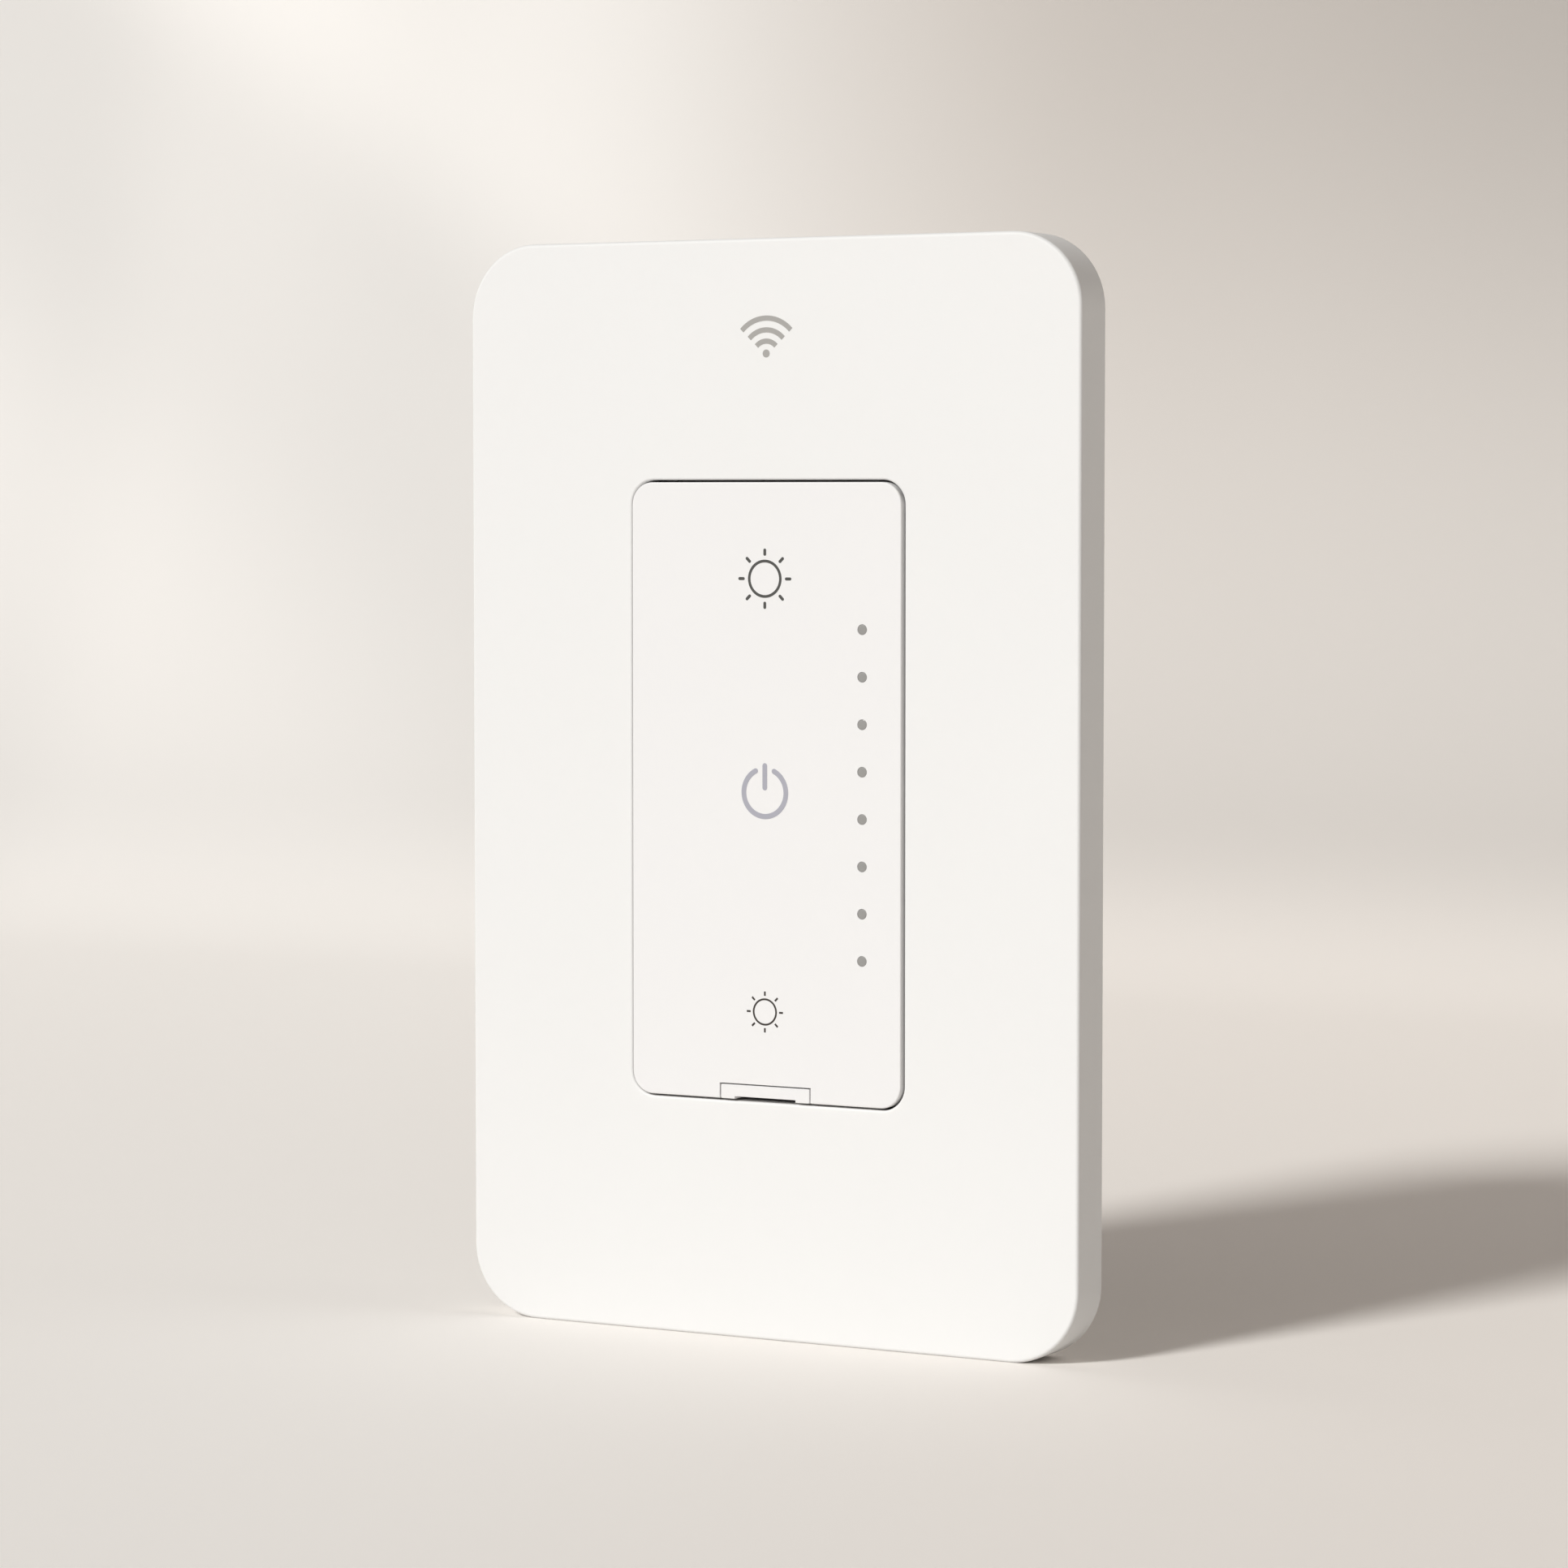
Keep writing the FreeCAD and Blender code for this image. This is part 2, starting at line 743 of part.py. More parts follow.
# Front frame
def frame_cuts():
    """Every hole through the front frame."""
    through = (frame_front, frame_back)
    fit = running_clearance
    cuts = []
    for z in (-key_post_z, 0, key_post_z):
        cuts.append(post(key_post_width + 2 * key_hole_gap, *through, z=z))
    for x, z in corners(guide_post_x, guide_post_z):
        bore_end = frame_back + guide_sleeve_length
        bore_width = guide_post_width + 2 * guide_post_clearance
        cuts.append(post(bore_width, frame_front, bore_end, x, z))
    for x, z in housing_screw_places():
        cuts.append(rod(housing_screw_radius + screw_clearance, *through, x=x, z=z))
    for z in both(spring_z):
        half_w = spring_length / 2 + spring_pocket_margin
        half_h = spring_width / 2 + spring_pocket_margin
        pocket = (frame_front, frame_front + spring_pocket_depth)
        cuts.append(box(both(half_w), pocket, (z - half_h, z + half_h)))
    baffle_half_w = baffle_width / 2 + frame_recess
    baffle_half_h = light_span / 2 + baffle_end_margin + frame_recess
    baffle_x = (light_x - baffle_half_w, light_x + baffle_half_w)
    cuts.append(box(baffle_x, through, both(baffle_half_h)))
    tab_x = (heat_tab_left - frame_recess, heat_tab_right + fit)
    cuts.append(box(tab_x, through, both(heat_tab_height / 2 + fit)))
    stem_x = both(tab_stem_width / 2 + fit)
    half_stem = tab_stem_height / 2 + fit
    cuts.append(box(stem_x, through, (tab_middle - half_stem, tab_middle + half_stem)))
    return cuts


def make_front_frame():
    flange = rounded_block(housing_width, housing_height, housing_corner, 0, frame_back)
    boss = rounded_block(
        window_width - frame_fit, window_height - frame_fit, window_corner, frame_front, 0
    )
    adds = [boss]
    for x, z in corners(guide_post_x, guide_post_z):
        sleeve_width = guide_post_width + 2 * guide_post_clearance + 2 * guide_sleeve_wall
        adds.append(post(sleeve_width, frame_back, frame_back + guide_sleeve_length, x, z))
    for x, z in corners(standoff_x, standoff_z):
        adds.append(post(standoff_width, frame_back, control_board_front, x, z))
    return flange.fuse(adds).cut(frame_cuts()).removeSplitter()


def make_light_baffle():
    """An opaque bar with one channel for each level light."""
    half_w = baffle_width / 2
    half_h = light_span / 2 + baffle_end_margin
    x = (light_x - half_w, light_x + half_w)
    back = control_board_front - led_height - baffle_lip
    bar = box(x, (frame_front + frame_recess, back), both(half_h))
    lip_x = (light_x - half_w - baffle_lip, light_x + half_w + baffle_lip)
    lip = box(lip_x, (frame_back, frame_back + baffle_lip), both(baffle_lip_length / 2))
    bar = bar.fuse(lip)
    channel_half_w, channel_half_h = baffle_channel_width / 2, baffle_channel_height / 2
    channel_x = (light_x - channel_half_w, light_x + channel_half_w)
    channels = []
    for z in light_places():
        channel_z = (z - channel_half_h, z + channel_half_h)
        channels.append(box(channel_x, (frame_front, back), channel_z))
    return bar.cut(channels)


# Panel and what carries it
def make_panel_carrier():
    """A sliding frame with two pivot pins, four guide posts and a middle key post."""
    plate = rounded_block(
        carrier_width, carrier_height, carrier_corner, carrier_front, carrier_back
    )
    pin_end = panel_width / 2 - panel_skirt_wall - running_clearance
    start, end = pivot_arm_start, pivot_arm_end
    arm_height = both(carrier_arm_half_height)
    adds = [box(both(end), (carrier_front, carrier_back), arm_height)]
    for side in ((-end, -start), (start, end)):
        adds.append(box(side, (pivot_y - pivot_radius - pivot_arm_wall, carrier_back), arm_height))
    for start, end in ((-pin_end, -start), (start, pin_end)):
        adds.append(rod(pivot_radius, start, end, AXIS_X, y=pivot_y))
    for x, z in corners(guide_post_x, guide_post_z):
        post_end = frame_back + guide_sleeve_length - running_clearance
        adds.append(post(guide_post_width, carrier_back, post_end, x, z))
    adds.append(post(key_post_width, carrier_back, key_post_end))
    return plate.fuse(adds).removeSplitter()


def make_return_springs():
    """Two bowed leaf springs between the frame's pockets and the carrier."""
    foot = frame_front + spring_pocket_depth
    rise = foot - carrier_back
    half = spring_length / 2

    def arc(offset):
        ends = [Vector(x, foot - offset, 0) for x in both(half)]
        return Part.Arc(ends[0], Vector(0, foot - rise + spring_thickness - offset, 0), ends[1])

    lower, upper = arc(0).toShape(), arc(spring_thickness).toShape()
    sides = []
    for x in both(half):
        sides.append(Part.makeLine(Vector(x, foot, 0), Vector(x, foot - spring_thickness, 0)))
    outline = Part.Face(Part.Wire([lower, sides[1], upper, sides[0]]))
    leaf = outline.extrude(AXIS_Z * spring_width)
    return [leaf.translated(Vector(0, 0, z - spring_width / 2)) for z in both(spring_z)]


def panel_ribs():
    """Stiffening ribs inside the panel, clear of the carrier."""
    depth = (panel_inner, panel_inner + panel_rib_height)
    half_t = panel_rib_thickness / 2
    inner_w = panel_width / 2 - panel_skirt_wall / 2
    inner_h = panel_height / 2 - panel_skirt_wall / 2
    ribs = []
    for z in both(panel_rib_z):
        ribs.append(box(both(inner_w), depth, (z - half_t, z + half_t)))
    for x in both(panel_rib_x):
        ribs.append(box((x - half_t, x + half_t), depth, (notch_top, inner_h)))
    return ribs


def notch_walls():
    """The skirt's step around the air-break tab."""
    depth = (panel_inner, panel_back)
    outer = notch_half_width + panel_skirt_wall
    return box(both(outer), depth, (tab_bottom, notch_top + panel_skirt_wall))


def make_front_panel():
    body = rounded_block(panel_width, panel_height, panel_corner, panel_front, panel_back)
    body = body.makeChamfer(panel_edge, front_edges(body, panel_front))
    skirt = 2 * panel_skirt_wall
    hollow = rounded_block(
        panel_width - skirt,
        panel_height - skirt,
        panel_corner - panel_skirt_wall,
        panel_inner,
        panel_back,
    )
    body = body.cut(hollow)
    adds = panel_ribs() + [notch_walls()]
    for z in both(key_post_z):
        adds.append(post(key_post_width, panel_inner, key_post_end, z=z))
    inner = panel_width / 2 - panel_skirt_wall
    ear_depth = (panel_inner, pivot_y + pivot_radius + stop_clearance)
    for x in ((-inner, pivot_ear_length - inner), (inner - pivot_ear_length, inner)):
        adds.append(box(x, ear_depth, both(pivot_ear_half_height)))
    body = body.fuse(adds).removeSplitter()
    notch = box(both(notch_half_width), (panel_front, panel_back), (tab_bottom, notch_top))
    cuts = [notch, rod(pivot_radius + pivot_clearance, -inner, inner, AXIS_X, y=pivot_y)]
    for z in light_places():
        cuts.append(light_stud(light_radius + light_fit, panel_front, panel_inner, z))
    return body.cut(cuts)


def make_light_guide():
    """One clear strip whose studs are the row of level lights."""
    half_w = guide_width / 2
    half_h = light_span / 2 + guide_end_margin
    depth = (panel_inner, panel_inner + guide_thickness)
    strip = box((light_x - half_w, light_x + half_w), depth, both(half_h))
    studs = [light_stud(light_radius, panel_front, panel_inner, z) for z in light_places()]
    return strip.fuse(studs).removeSplitter()


def make_air_break_tab():
    """The pull tab with its stem and the barb that stops it."""
    head_back = panel_front + tab_head_depth
    head = box(both(tab_width / 2), (panel_front, head_back), (tab_bottom, tab_top))
    head = head.makeChamfer(tab_edge, front_edges(head, panel_front))
    nail = box(
        both(tab_nail_width / 2),
        (panel_front, panel_front + tab_nail_depth),
        (tab_bottom, tab_bottom + tab_nail_height),
    )
    stem_z = (tab_middle - tab_stem_height / 2, tab_middle + tab_stem_height / 2)
    stem = box(both(tab_stem_width / 2), (head_back, tab_stem_end), stem_z)
    barb_front = frame_back + tab_travel + running_clearance
    barb_half = tab_stem_width / 2 + tab_barb_reach
    barb = box(both(barb_half), (barb_front, barb_front + tab_barb_length), stem_z)
    return head.cut(nail).fuse([stem, barb]).removeSplitter()


# Circuit boards
def make_keypad_mat():
    """A rubber sheet on the control board with one soft key under each key post."""
    height = 2 * key_post_z + 2 * mat_end_margin
    sheet = box(both(mat_width / 2), (mat_front, control_board_front), both(height / 2))
    keys = [rod(key_radius, key_front, mat_front, z=z) for z in (-key_post_z, 0, key_post_z)]
    return sheet.fuse(keys).removeSplitter()


def make_control_board():
    depth = (control_board_front, control_board_back)
    board = box(both(control_board_width / 2), depth, both(control_board_height / 2))
    notch_half_height = heat_tab_height / 2 + board_edge_gap
    return board.cut(box((heat_tab_left, board_notch_right), depth, both(notch_half_height)))


def make_board_leds():
    half_w, half_l = led_width / 2, led_length / 2
    depth = (control_board_front - led_height, control_board_front)
    x = (light_x - half_w, light_x + half_w)
    return [box(x, depth, (z - half_l, z + half_l)) for z in light_places()]


def standing(width, depth, height, x, z, front):
    """A block that stands on a board's back face, centred at x and z."""
    return box((x - width / 2, x + width / 2), (front, front + depth), (z - height / 2, z + height / 2))


def make_processor_chip():
    side = processor_side
    return standing(side, processor_height, side, processor_x, processor_z, control_board_back)


def make_radio_board():
    depth = radio_board_thickness
    return standing(radio_width, depth, radio_height, radio_x, radio_z, control_board_back)


def make_radio_shield():
    """A folded metal can over the radio's chips; the board's free end is the aerial."""
    front = control_board_back + radio_board_thickness
    z = radio_z + (radio_height - shield_height) / 2 - shield_inset
    can = standing(shield_width, shield_depth, shield_height, radio_x, z, front)
    return can.makeFillet(shield_edge, front_edges(can, front + shield_depth))


def make_board_connector():
    return standing(
        connector_width,
        power_board_front - control_board_back,
        connector_height,
        connector_x,
        connector_z,
        control_board_back,
    )


def make_power_board():
    """The rear board, notched around the housing's screw bosses."""
    depth = (power_board_front, power_board_back)
    board = box(both(power_board_width / 2), depth, both(power_board_height / 2))
    notch = 2 * (boss_half_width + board_corner_gap)
    places = corners(housing_screw_x, housing_screw_z)
    return board.cut([post(notch, *depth, x, z) for x, z in places])


# Power parts on the heat tab
def transistor_places():
    return both(transistor_spacing / 2)


def make_heat_pads():
    back = transistor_front + transistor_length
    half = transistor_width / 2
    pad_x = (heat_tab_left - pad_thickness, heat_tab_left)
    return [box(pad_x, (transistor_front, back), (z - half, z + half)) for z in transistor_places()]


def make_power_transistors():
    face = heat_tab_left - pad_thickness
    body_start = transistor_front + transistor_tab_length
    body_end = body_start + transistor_body_length
    devices = []
    for z in transistor_places():
        span = (z - transistor_width / 2, z + transistor_width / 2)
        tab = box((face - transistor_tab_thickness, face), (transistor_front, body_start), span)
        body = box((face - transistor_body_thickness, face), (body_start, body_end), span)
        leg_x = face - transistor_body_thickness / 2
        legs = []
        for step in (-leg_pitch, 0, leg_pitch):
            legs.append(
                box(
                    (leg_x - leg_width / 2, leg_x + leg_width / 2),
                    (body_end, power_board_front),
                    (z + step - leg_width / 2, z + step + leg_width / 2),
                )
            )
        devices.append(tab.fuse([body] + legs).removeSplitter())
    return devices


def make_transistor_clip():
    """A spring clip over the heat tab's end that presses both transistors on it."""
    right = heat_tab_right
    left = heat_tab_left - pad_thickness - transistor_body_thickness
    back = heat_tab_depth + clip_thickness
    span = both(clip_width / 2)
    inner = box((right, right + clip_thickness), (back - clip_reach, back), span)
    outer = box((left - clip_thickness, left), (back - clip_reach, back), span)
    bridge = box((left - clip_thickness, right + clip_thickness), (heat_tab_depth, back), span)
    return bridge.fuse([inner, outer]).removeSplitter()


# Air-break contacts
def make_contact_leaf():
    """A springy strip from the power board, pressed back by the tab's stem."""
    arm_front = tab_stem_end + leaf_gap
    arm_back = arm_front + leaf_thickness
    leg_z = -power_board_height / 2 + leaf_leg_inset
    arm_low = tab_middle - leaf_overlap
    arm = box(both(leaf_width / 2), (arm_front, arm_back), (arm_low, leg_z))
    leg = box(
        both(leaf_width / 2), (arm_front, power_board_front), (leg_z - leaf_thickness, leg_z)
    )
    return arm.fuse(leg).removeSplitter()


def make_fixed_contact():
    front = tab_stem_end + leaf_gap + leaf_thickness
    return box(
        both(contact_width / 2),
        (front, power_board_front),
        (-power_board_height / 2, contact_height - power_board_height / 2),
    )


# Parts on the power board's back
def make_choke():
    """A wound ring, laid flat on the board."""
    depth = (power_board_back, power_board_back + choke_depth)
    return rod(choke_outer_radius, *depth, x=choke_x).cut(rod(choke_inner_radius, *depth, x=choke_x))


def make_film_capacitor():
    can = standing(film_width, film_depth, film_height, film_x, film_z, power_board_back)
    return can.makeFillet(film_edge, front_edges(can, power_board_back + film_depth))


def make_electrolytic_capacitor():
    y = power_board_back + electrolytic_radius
    start = electrolytic_z - electrolytic_length / 2
    end = electrolytic_z + electrolytic_length / 2
    return rod(electrolytic_radius, start, end, AXIS_Z, x=electrolytic_x, y=y)


def make_supply_transformer():
    """A ferrite core with its winding showing on both sides."""
    place = (transformer_x, transformer_z, power_board_back)
    core = standing(transformer_width, transformer_depth, core_height, *place)
    bobbin = standing(bobbin_width, bobbin_depth, transformer_height, *place)
    return core.fuse(bobbin).removeSplitter()


def make_fuse():
    y = power_board_back + fuse_radius
    return rod(fuse_radius, fuse_x - fuse_length / 2, fuse_x + fuse_length / 2, AXIS_X, y=y, z=fuse_z)


def make_varistor():
    y = power_board_back + varistor_radius
    start = varistor_z - varistor_thickness / 2
    end = varistor_z + varistor_thickness / 2
    return rod(varistor_radius, start, end, AXIS_Z, x=varistor_x, y=y)


# Terminals
def make_terminal_blocks():
    """Brass cage clamps with a wire channel from the back and a screw hole at the side."""
    back = housing_inner_back - terminal_back_gap
    blocks = []
    for x, z in corners(terminal_x, terminal_z):
        block = standing(
            terminal_width, back - power_board_back, terminal_height, x, z, power_board_back
        )
        floor = power_board_back + terminal_floor
        channel = post(terminal_wire_width, floor, back, x, z)
        low, high = sorted((math.copysign(terminal_outer, x), x))
        radius = terminal_screw_radius + screw_clearance / 2
        hole = rod(radius, low, high, AXIS_X, y=terminal_screw_y, z=z)
        blocks.append(block.cut([channel, hole]))
    return blocks


def make_terminal_screws():
    screws = []
    for x, z in corners(terminal_x, terminal_z):
        side = math.copysign(1, x)
        seat = terminal_outer + terminal_head_gap
        shank = rod(
            terminal_screw_radius,
            terminal_x + terminal_wire_width / 2,
            seat,
            AXIS_X,
            y=terminal_screw_y,
            z=z,
        )
        head = rod(
            terminal_head_radius,
            seat,
            seat + terminal_head_height,
            AXIS_X,
            y=terminal_screw_y,
            z=z,
        )
        slot = box(
            (seat + terminal_head_height - drive_depth, seat + terminal_head_height),
            (terminal_screw_y - terminal_head_radius, terminal_screw_y + terminal_head_radius),
            (z - drive_width / 2, z + drive_width / 2),
        )
        screw = shank.fuse(head).cut(slot)
        screws.append(screw if side > 0 else screw.mirror(Vector(), AXIS_X))
    return screws


# Rear housing
def tapered_block(width, height, radius, y_start, y_end, draft):
    """A rounded block whose sides lean in by the draft; its corners are cones."""
    half_w, half_h = width / 2, height / 2
    sections = []
    for y, lean in ((y_start, 0), (y_end, draft)):
        outline = []
        for sx, sz in ((1, 1), (-1, 1), (-1, -1), (1, -1)):
            along = Vector(sx * (half_w - lean), y, sz * (half_h - radius))
            across = Vector(sx * (half_w - radius), y, sz * (half_h - lean))
            outline += [along, across] if sx * sz > 0 else [across, along]
        sections.append(Part.makePolygon(outline + outline[:1]))
    body = Part.makeLoft(sections, True, True)
    cones = [
        cone(radius, radius - draft, y_start, y_end, x, z)
        for x, z in corners(half_w - radius, half_h - radius)
    ]
    return body.fuse(cones).removeSplitter()


def housing_shell():
    """A drafted cup, open towards the frame, with its rear edge broken."""
    edge_start = housing_depth - housing_edge
    outer = tapered_block(
        housing_width, housing_height, housing_corner, frame_back, edge_start, housing_draft
    )
    rear = tapered_block(
        housing_width - 2 * housing_draft,
        housing_height - 2 * housing_draft,
        housing_corner - housing_draft,
        edge_start,
        housing_depth,
        housing_edge,
    )
    wall = 2 * housing_wall
    inner = tapered_block(
        housing_width - wall,
        housing_height - wall,
        housing_corner - housing_wall,
        frame_back,
        housing_inner_back,
        housing_draft,
    )
    return outer.fuse(rear).removeSplitter(), inner


def housing_cuts():
    """Bores for screws and wires, and the vents in the back."""
    cuts = []
    for x, z in housing_screw_places():
        cuts.append(rod(housing_screw_radius, frame_back, frame_back + boss_bore_depth, x=x, z=z))
    for x, z in corners(terminal_x, terminal_z):
        cuts.append(post(terminal_entry_width, housing_inner_back, housing_depth, x, z))
        low, high = sorted((math.copysign(terminal_outer, x), math.copysign(housing_width, x)))
        radius = terminal_head_radius + running_clearance
        cuts.append(rod(radius, low, high, AXIS_X, y=terminal_screw_y, z=z))
    for index in range(vent_count):
        z = (index - (vent_count - 1) / 2) * vent_pitch
        slot_z = (z - vent_width / 2, z + vent_width / 2)
        cuts.append(box(both(vent_length / 2), (housing_inner_back, housing_depth), slot_z))
    return cuts


def make_rear_housing():
    outer, inner = housing_shell()
    adds = []
    for x, z in corners(housing_screw_x, housing_screw_z):
        adds.append(post(2 * boss_half_width, frame_back, housing_inner_back, x, z))
    ledge_in = power_board_width / 2 - board_edge_gap
    for side in ((-housing_width / 2, -ledge_in), (ledge_in, housing_width / 2)):
        for z in both(ledge_z):
            span = (z - ledge_height / 2, z + ledge_height / 2)
            adds.append(box(side, (power_board_back, housing_inner_back), span))
    posts = [add.common(outer) for add in adds]
    shell = outer.cut(inner).fuse(posts).removeSplitter()
    return shell.cut(housing_cuts())


def main():
    os.makedirs("parts", exist_ok=True)
    write("wall_plate", make_wall_plate())
    write("sub_plate", make_sub_plate())
    write("plate_screws", make_plate_screws())
    write("yoke", make_yoke())
    write("box_screws", make_box_screws())
    write("screw_retainers", make_screw_retainers())
    write("ground_screw", make_ground_screw())
    write("housing_screws", make_housing_screws())
    write("front_frame", make_front_frame())
    write("light_baffle", make_light_baffle())
    write("panel_carrier", make_panel_carrier())
    write("return_springs", make_return_springs())
    write("front_panel", make_front_panel())
    write("light_guide", make_light_guide())
    write("air_break_tab", make_air_break_tab())
    write("keypad_mat", make_keypad_mat())
    write("control_board", make_control_board())
    write("board_leds", make_board_leds())
    write("processor_chip", make_processor_chip())
    write("radio_board", make_radio_board())
    write("radio_shield", make_radio_shield())
    write("board_connector", make_board_connector())
    write("power_board", make_power_board())
    write("heat_pads", make_heat_pads())
    write("power_transistors", make_power_transistors())
    write("transistor_clip", make_transistor_clip())
    write("contact_leaf", make_contact_leaf())
    write("fixed_contact", make_fixed_contact())
    write("choke", make_choke())
    write("film_capacitor", make_film_capacitor())
    write("electrolytic_capacitor", make_electrolytic_capacitor())
    write("supply_transformer", make_supply_transformer())
    write("fuse", make_fuse())
    write("varistor", make_varistor())
    write("terminal_blocks", make_terminal_blocks())
    write("terminal_screws", make_terminal_screws())
    write("rear_housing", make_rear_housing())


main()
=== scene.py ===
# %% [markdown]
# # A smart dimmer switch, dressed for its picture
# The switch is a white wall plate with one tall press panel in its opening. This lesson loads the
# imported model, which holds every piece at its real size, and then gives each piece its finish.
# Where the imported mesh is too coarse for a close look, a finer mesh takes its place.

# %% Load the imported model
import json
import math

import bmesh
import bpy
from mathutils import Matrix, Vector


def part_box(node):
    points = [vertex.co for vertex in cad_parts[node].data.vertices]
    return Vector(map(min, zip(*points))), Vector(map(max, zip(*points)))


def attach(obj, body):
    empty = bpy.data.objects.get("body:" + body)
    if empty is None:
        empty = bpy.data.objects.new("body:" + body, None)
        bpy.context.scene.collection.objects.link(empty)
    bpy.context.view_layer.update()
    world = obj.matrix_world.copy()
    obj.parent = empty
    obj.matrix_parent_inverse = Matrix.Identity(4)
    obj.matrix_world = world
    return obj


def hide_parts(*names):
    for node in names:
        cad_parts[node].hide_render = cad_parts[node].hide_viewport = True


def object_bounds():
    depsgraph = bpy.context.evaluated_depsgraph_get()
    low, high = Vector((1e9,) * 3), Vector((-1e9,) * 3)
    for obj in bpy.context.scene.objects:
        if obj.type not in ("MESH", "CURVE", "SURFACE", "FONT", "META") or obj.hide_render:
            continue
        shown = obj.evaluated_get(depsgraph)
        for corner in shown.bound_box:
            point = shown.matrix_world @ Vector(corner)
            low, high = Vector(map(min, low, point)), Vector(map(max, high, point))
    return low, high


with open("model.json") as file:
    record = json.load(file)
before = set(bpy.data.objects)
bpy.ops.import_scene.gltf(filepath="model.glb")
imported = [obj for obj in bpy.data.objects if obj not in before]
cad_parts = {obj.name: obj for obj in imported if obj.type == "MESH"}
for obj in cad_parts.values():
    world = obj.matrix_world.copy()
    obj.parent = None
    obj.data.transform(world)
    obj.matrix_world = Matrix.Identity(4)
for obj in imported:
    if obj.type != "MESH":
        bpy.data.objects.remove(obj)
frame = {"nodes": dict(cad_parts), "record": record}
cad_low, cad_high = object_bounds()
mm = 0.001

# %% [markdown]
# ## Camera
# The picture was taken from the front right, a little above the middle, with a long lens.
# Its place comes from matching the plate's edges, so it is given in the switch's own frame.

# %% Camera
photo_width = 1932
focal_length_px = 6035.3
camera_place = Vector((252.9, -467.6, 31.95)) * mm
camera_turn = 28.51
camera_dip = 3.374
nearest_seen, farthest_seen = 0.01, 50.0


def add_object(name, data):
    added = bpy.data.objects.new(name, data)
    bpy.context.scene.collection.objects.link(added)
    return added


camera_data = bpy.data.cameras.new("camera")
camera_data.sensor_width = 36.0
camera_data.lens = camera_data.sensor_width * focal_length_px / photo_width
camera_data.clip_start = nearest_seen
camera_data.clip_end = farthest_seen
camera = add_object("camera", camera_data)
camera.location = camera_place
camera.rotation_euler = (math.radians(90 - camera_dip), 0, math.radians(camera_turn))
bpy.context.scene.camera = camera
bpy.context.scene.view_settings.view_transform = "Standard"
print("lens:", round(camera_data.lens, 2), "mm")

# %% [markdown]
# ## Mesh helpers
# Moulded covers are rounded rectangles joined one behind the other: one helper makes a rounded
# outline, and another skins a row of them. Each outline has the same number of points at any
# size, so the skin closes without twisting. A bevel modifier would be less exact.

# %% Mesh helpers
corner_steps = 16
# Joined parts sink this far into each other, and each flat face has a band this narrow.
hold = 0.05 * mm


def rounded_loop(width, height, radius, y, steps=corner_steps):
    """Points of a rounded rectangle that faces along Y, from its right side round."""
    points = []
    for corner, (side, level) in enumerate(((1, 1), (-1, 1), (-1, -1), (1, -1))):
        for step in range(steps + 1):
            turn = math.radians(90 * (corner + step / steps))
            x = side * (width / 2 - radius) + radius * math.cos(turn)
            z = level * (height / 2 - radius) + radius * math.sin(turn)
            points.append(Vector((x, y, z)))
    return points


def skin(mesh, loops, closed=False):
    """Joins outlines with faces; a closed skin is a ring, and other skins get end caps."""
    rows = [[mesh.verts.new(point) for point in loop] for loop in loops]
    following = rows[1:] + rows[:1] if closed else rows[1:]
    for near, far in zip(rows, following):
        for index in range(len(near)):
            after = (index + 1) % len(near)
            mesh.faces.new((near[index], near[after], far[after], far[index]))
    if not closed:
        mesh.faces.new(rows[0])
        mesh.faces.new(rows[-1][::-1])


def corners(x, z):
    return [(x[0], z[0]), (x[1], z[0]), (x[1], z[1]), (x[0], z[1])]


def box(mesh, x, y, z):
    """A block given by its low and high limits."""
    skin(mesh, [[Vector((a, level, b)) for a, b in corners(x, z)] for level in y])


def both(value):
    return (-value, value)


def round_edge(radius, steps=8):
    """Steps of a quarter round: how far in from the side, and how far down from the front."""
    turns = [math.radians(90 * step / steps) for step in range(steps + 1)]
    return [(radius * (1 - math.cos(turn)), radius * (1 - math.sin(turn))) for turn in turns]


print("points in an outline:", len(rounded_loop(1, 1, 0.1, 0)))

# %% [markdown]
# ## From mesh to piece
# A mesh becomes an object with smooth rounds and crisp corners. Ribs, bores and slots are
# joined or cut with an exact boolean. Done by hand the faces would be tidier, but nobody sees
# them, and a boolean is easy to change.

# %% From mesh to piece
merge_distance = 1e-8
smooth_limit = 32
face_weight = 80


def make_piece(name, mesh, smooth_below=smooth_limit):
    """Turns a bmesh into an object with smooth rounds and crisp corners."""
    bmesh.ops.remove_doubles(mesh, verts=mesh.verts, dist=merge_distance)
    bmesh.ops.recalc_face_normals(mesh, faces=mesh.faces)
    data = bpy.data.meshes.new(name)
    mesh.to_mesh(data)
    mesh.free()
    piece = add_object(name, data)
    shade(piece, smooth_below)
    return piece


def shade(piece, smooth_below):
    piece.data.shade_smooth()
    piece.data.set_sharp_from_angle(angle=math.radians(smooth_below))


def combine(piece, tool, operation="UNION", smooth_below=smooth_limit):
    """Adds or cuts one mesh with another, and keeps only the result."""
    modifier = piece.modifiers.new("combine", "BOOLEAN")
    modifier.object = tool
    modifier.operation = operation
    modifier.solver = "EXACT"
    modifier.use_self = True
    depsgraph = bpy.context.evaluated_depsgraph_get()
    result = bpy.data.meshes.new_from_object(piece.evaluated_get(depsgraph))
    piece.modifiers.clear()
    piece.data = result
    bpy.data.objects.remove(tool)
    shade(piece, smooth_below)


def block(name, *limits):
    """A piece that is one box."""
    mesh = bmesh.new()
    box(mesh, *limits)
    return make_piece(name, mesh)


def drawn(name, *steps):
    """A piece made of what the given functions draw."""
    mesh = bmesh.new()
    for step in steps:
        step(mesh)
    return make_piece(name, mesh)


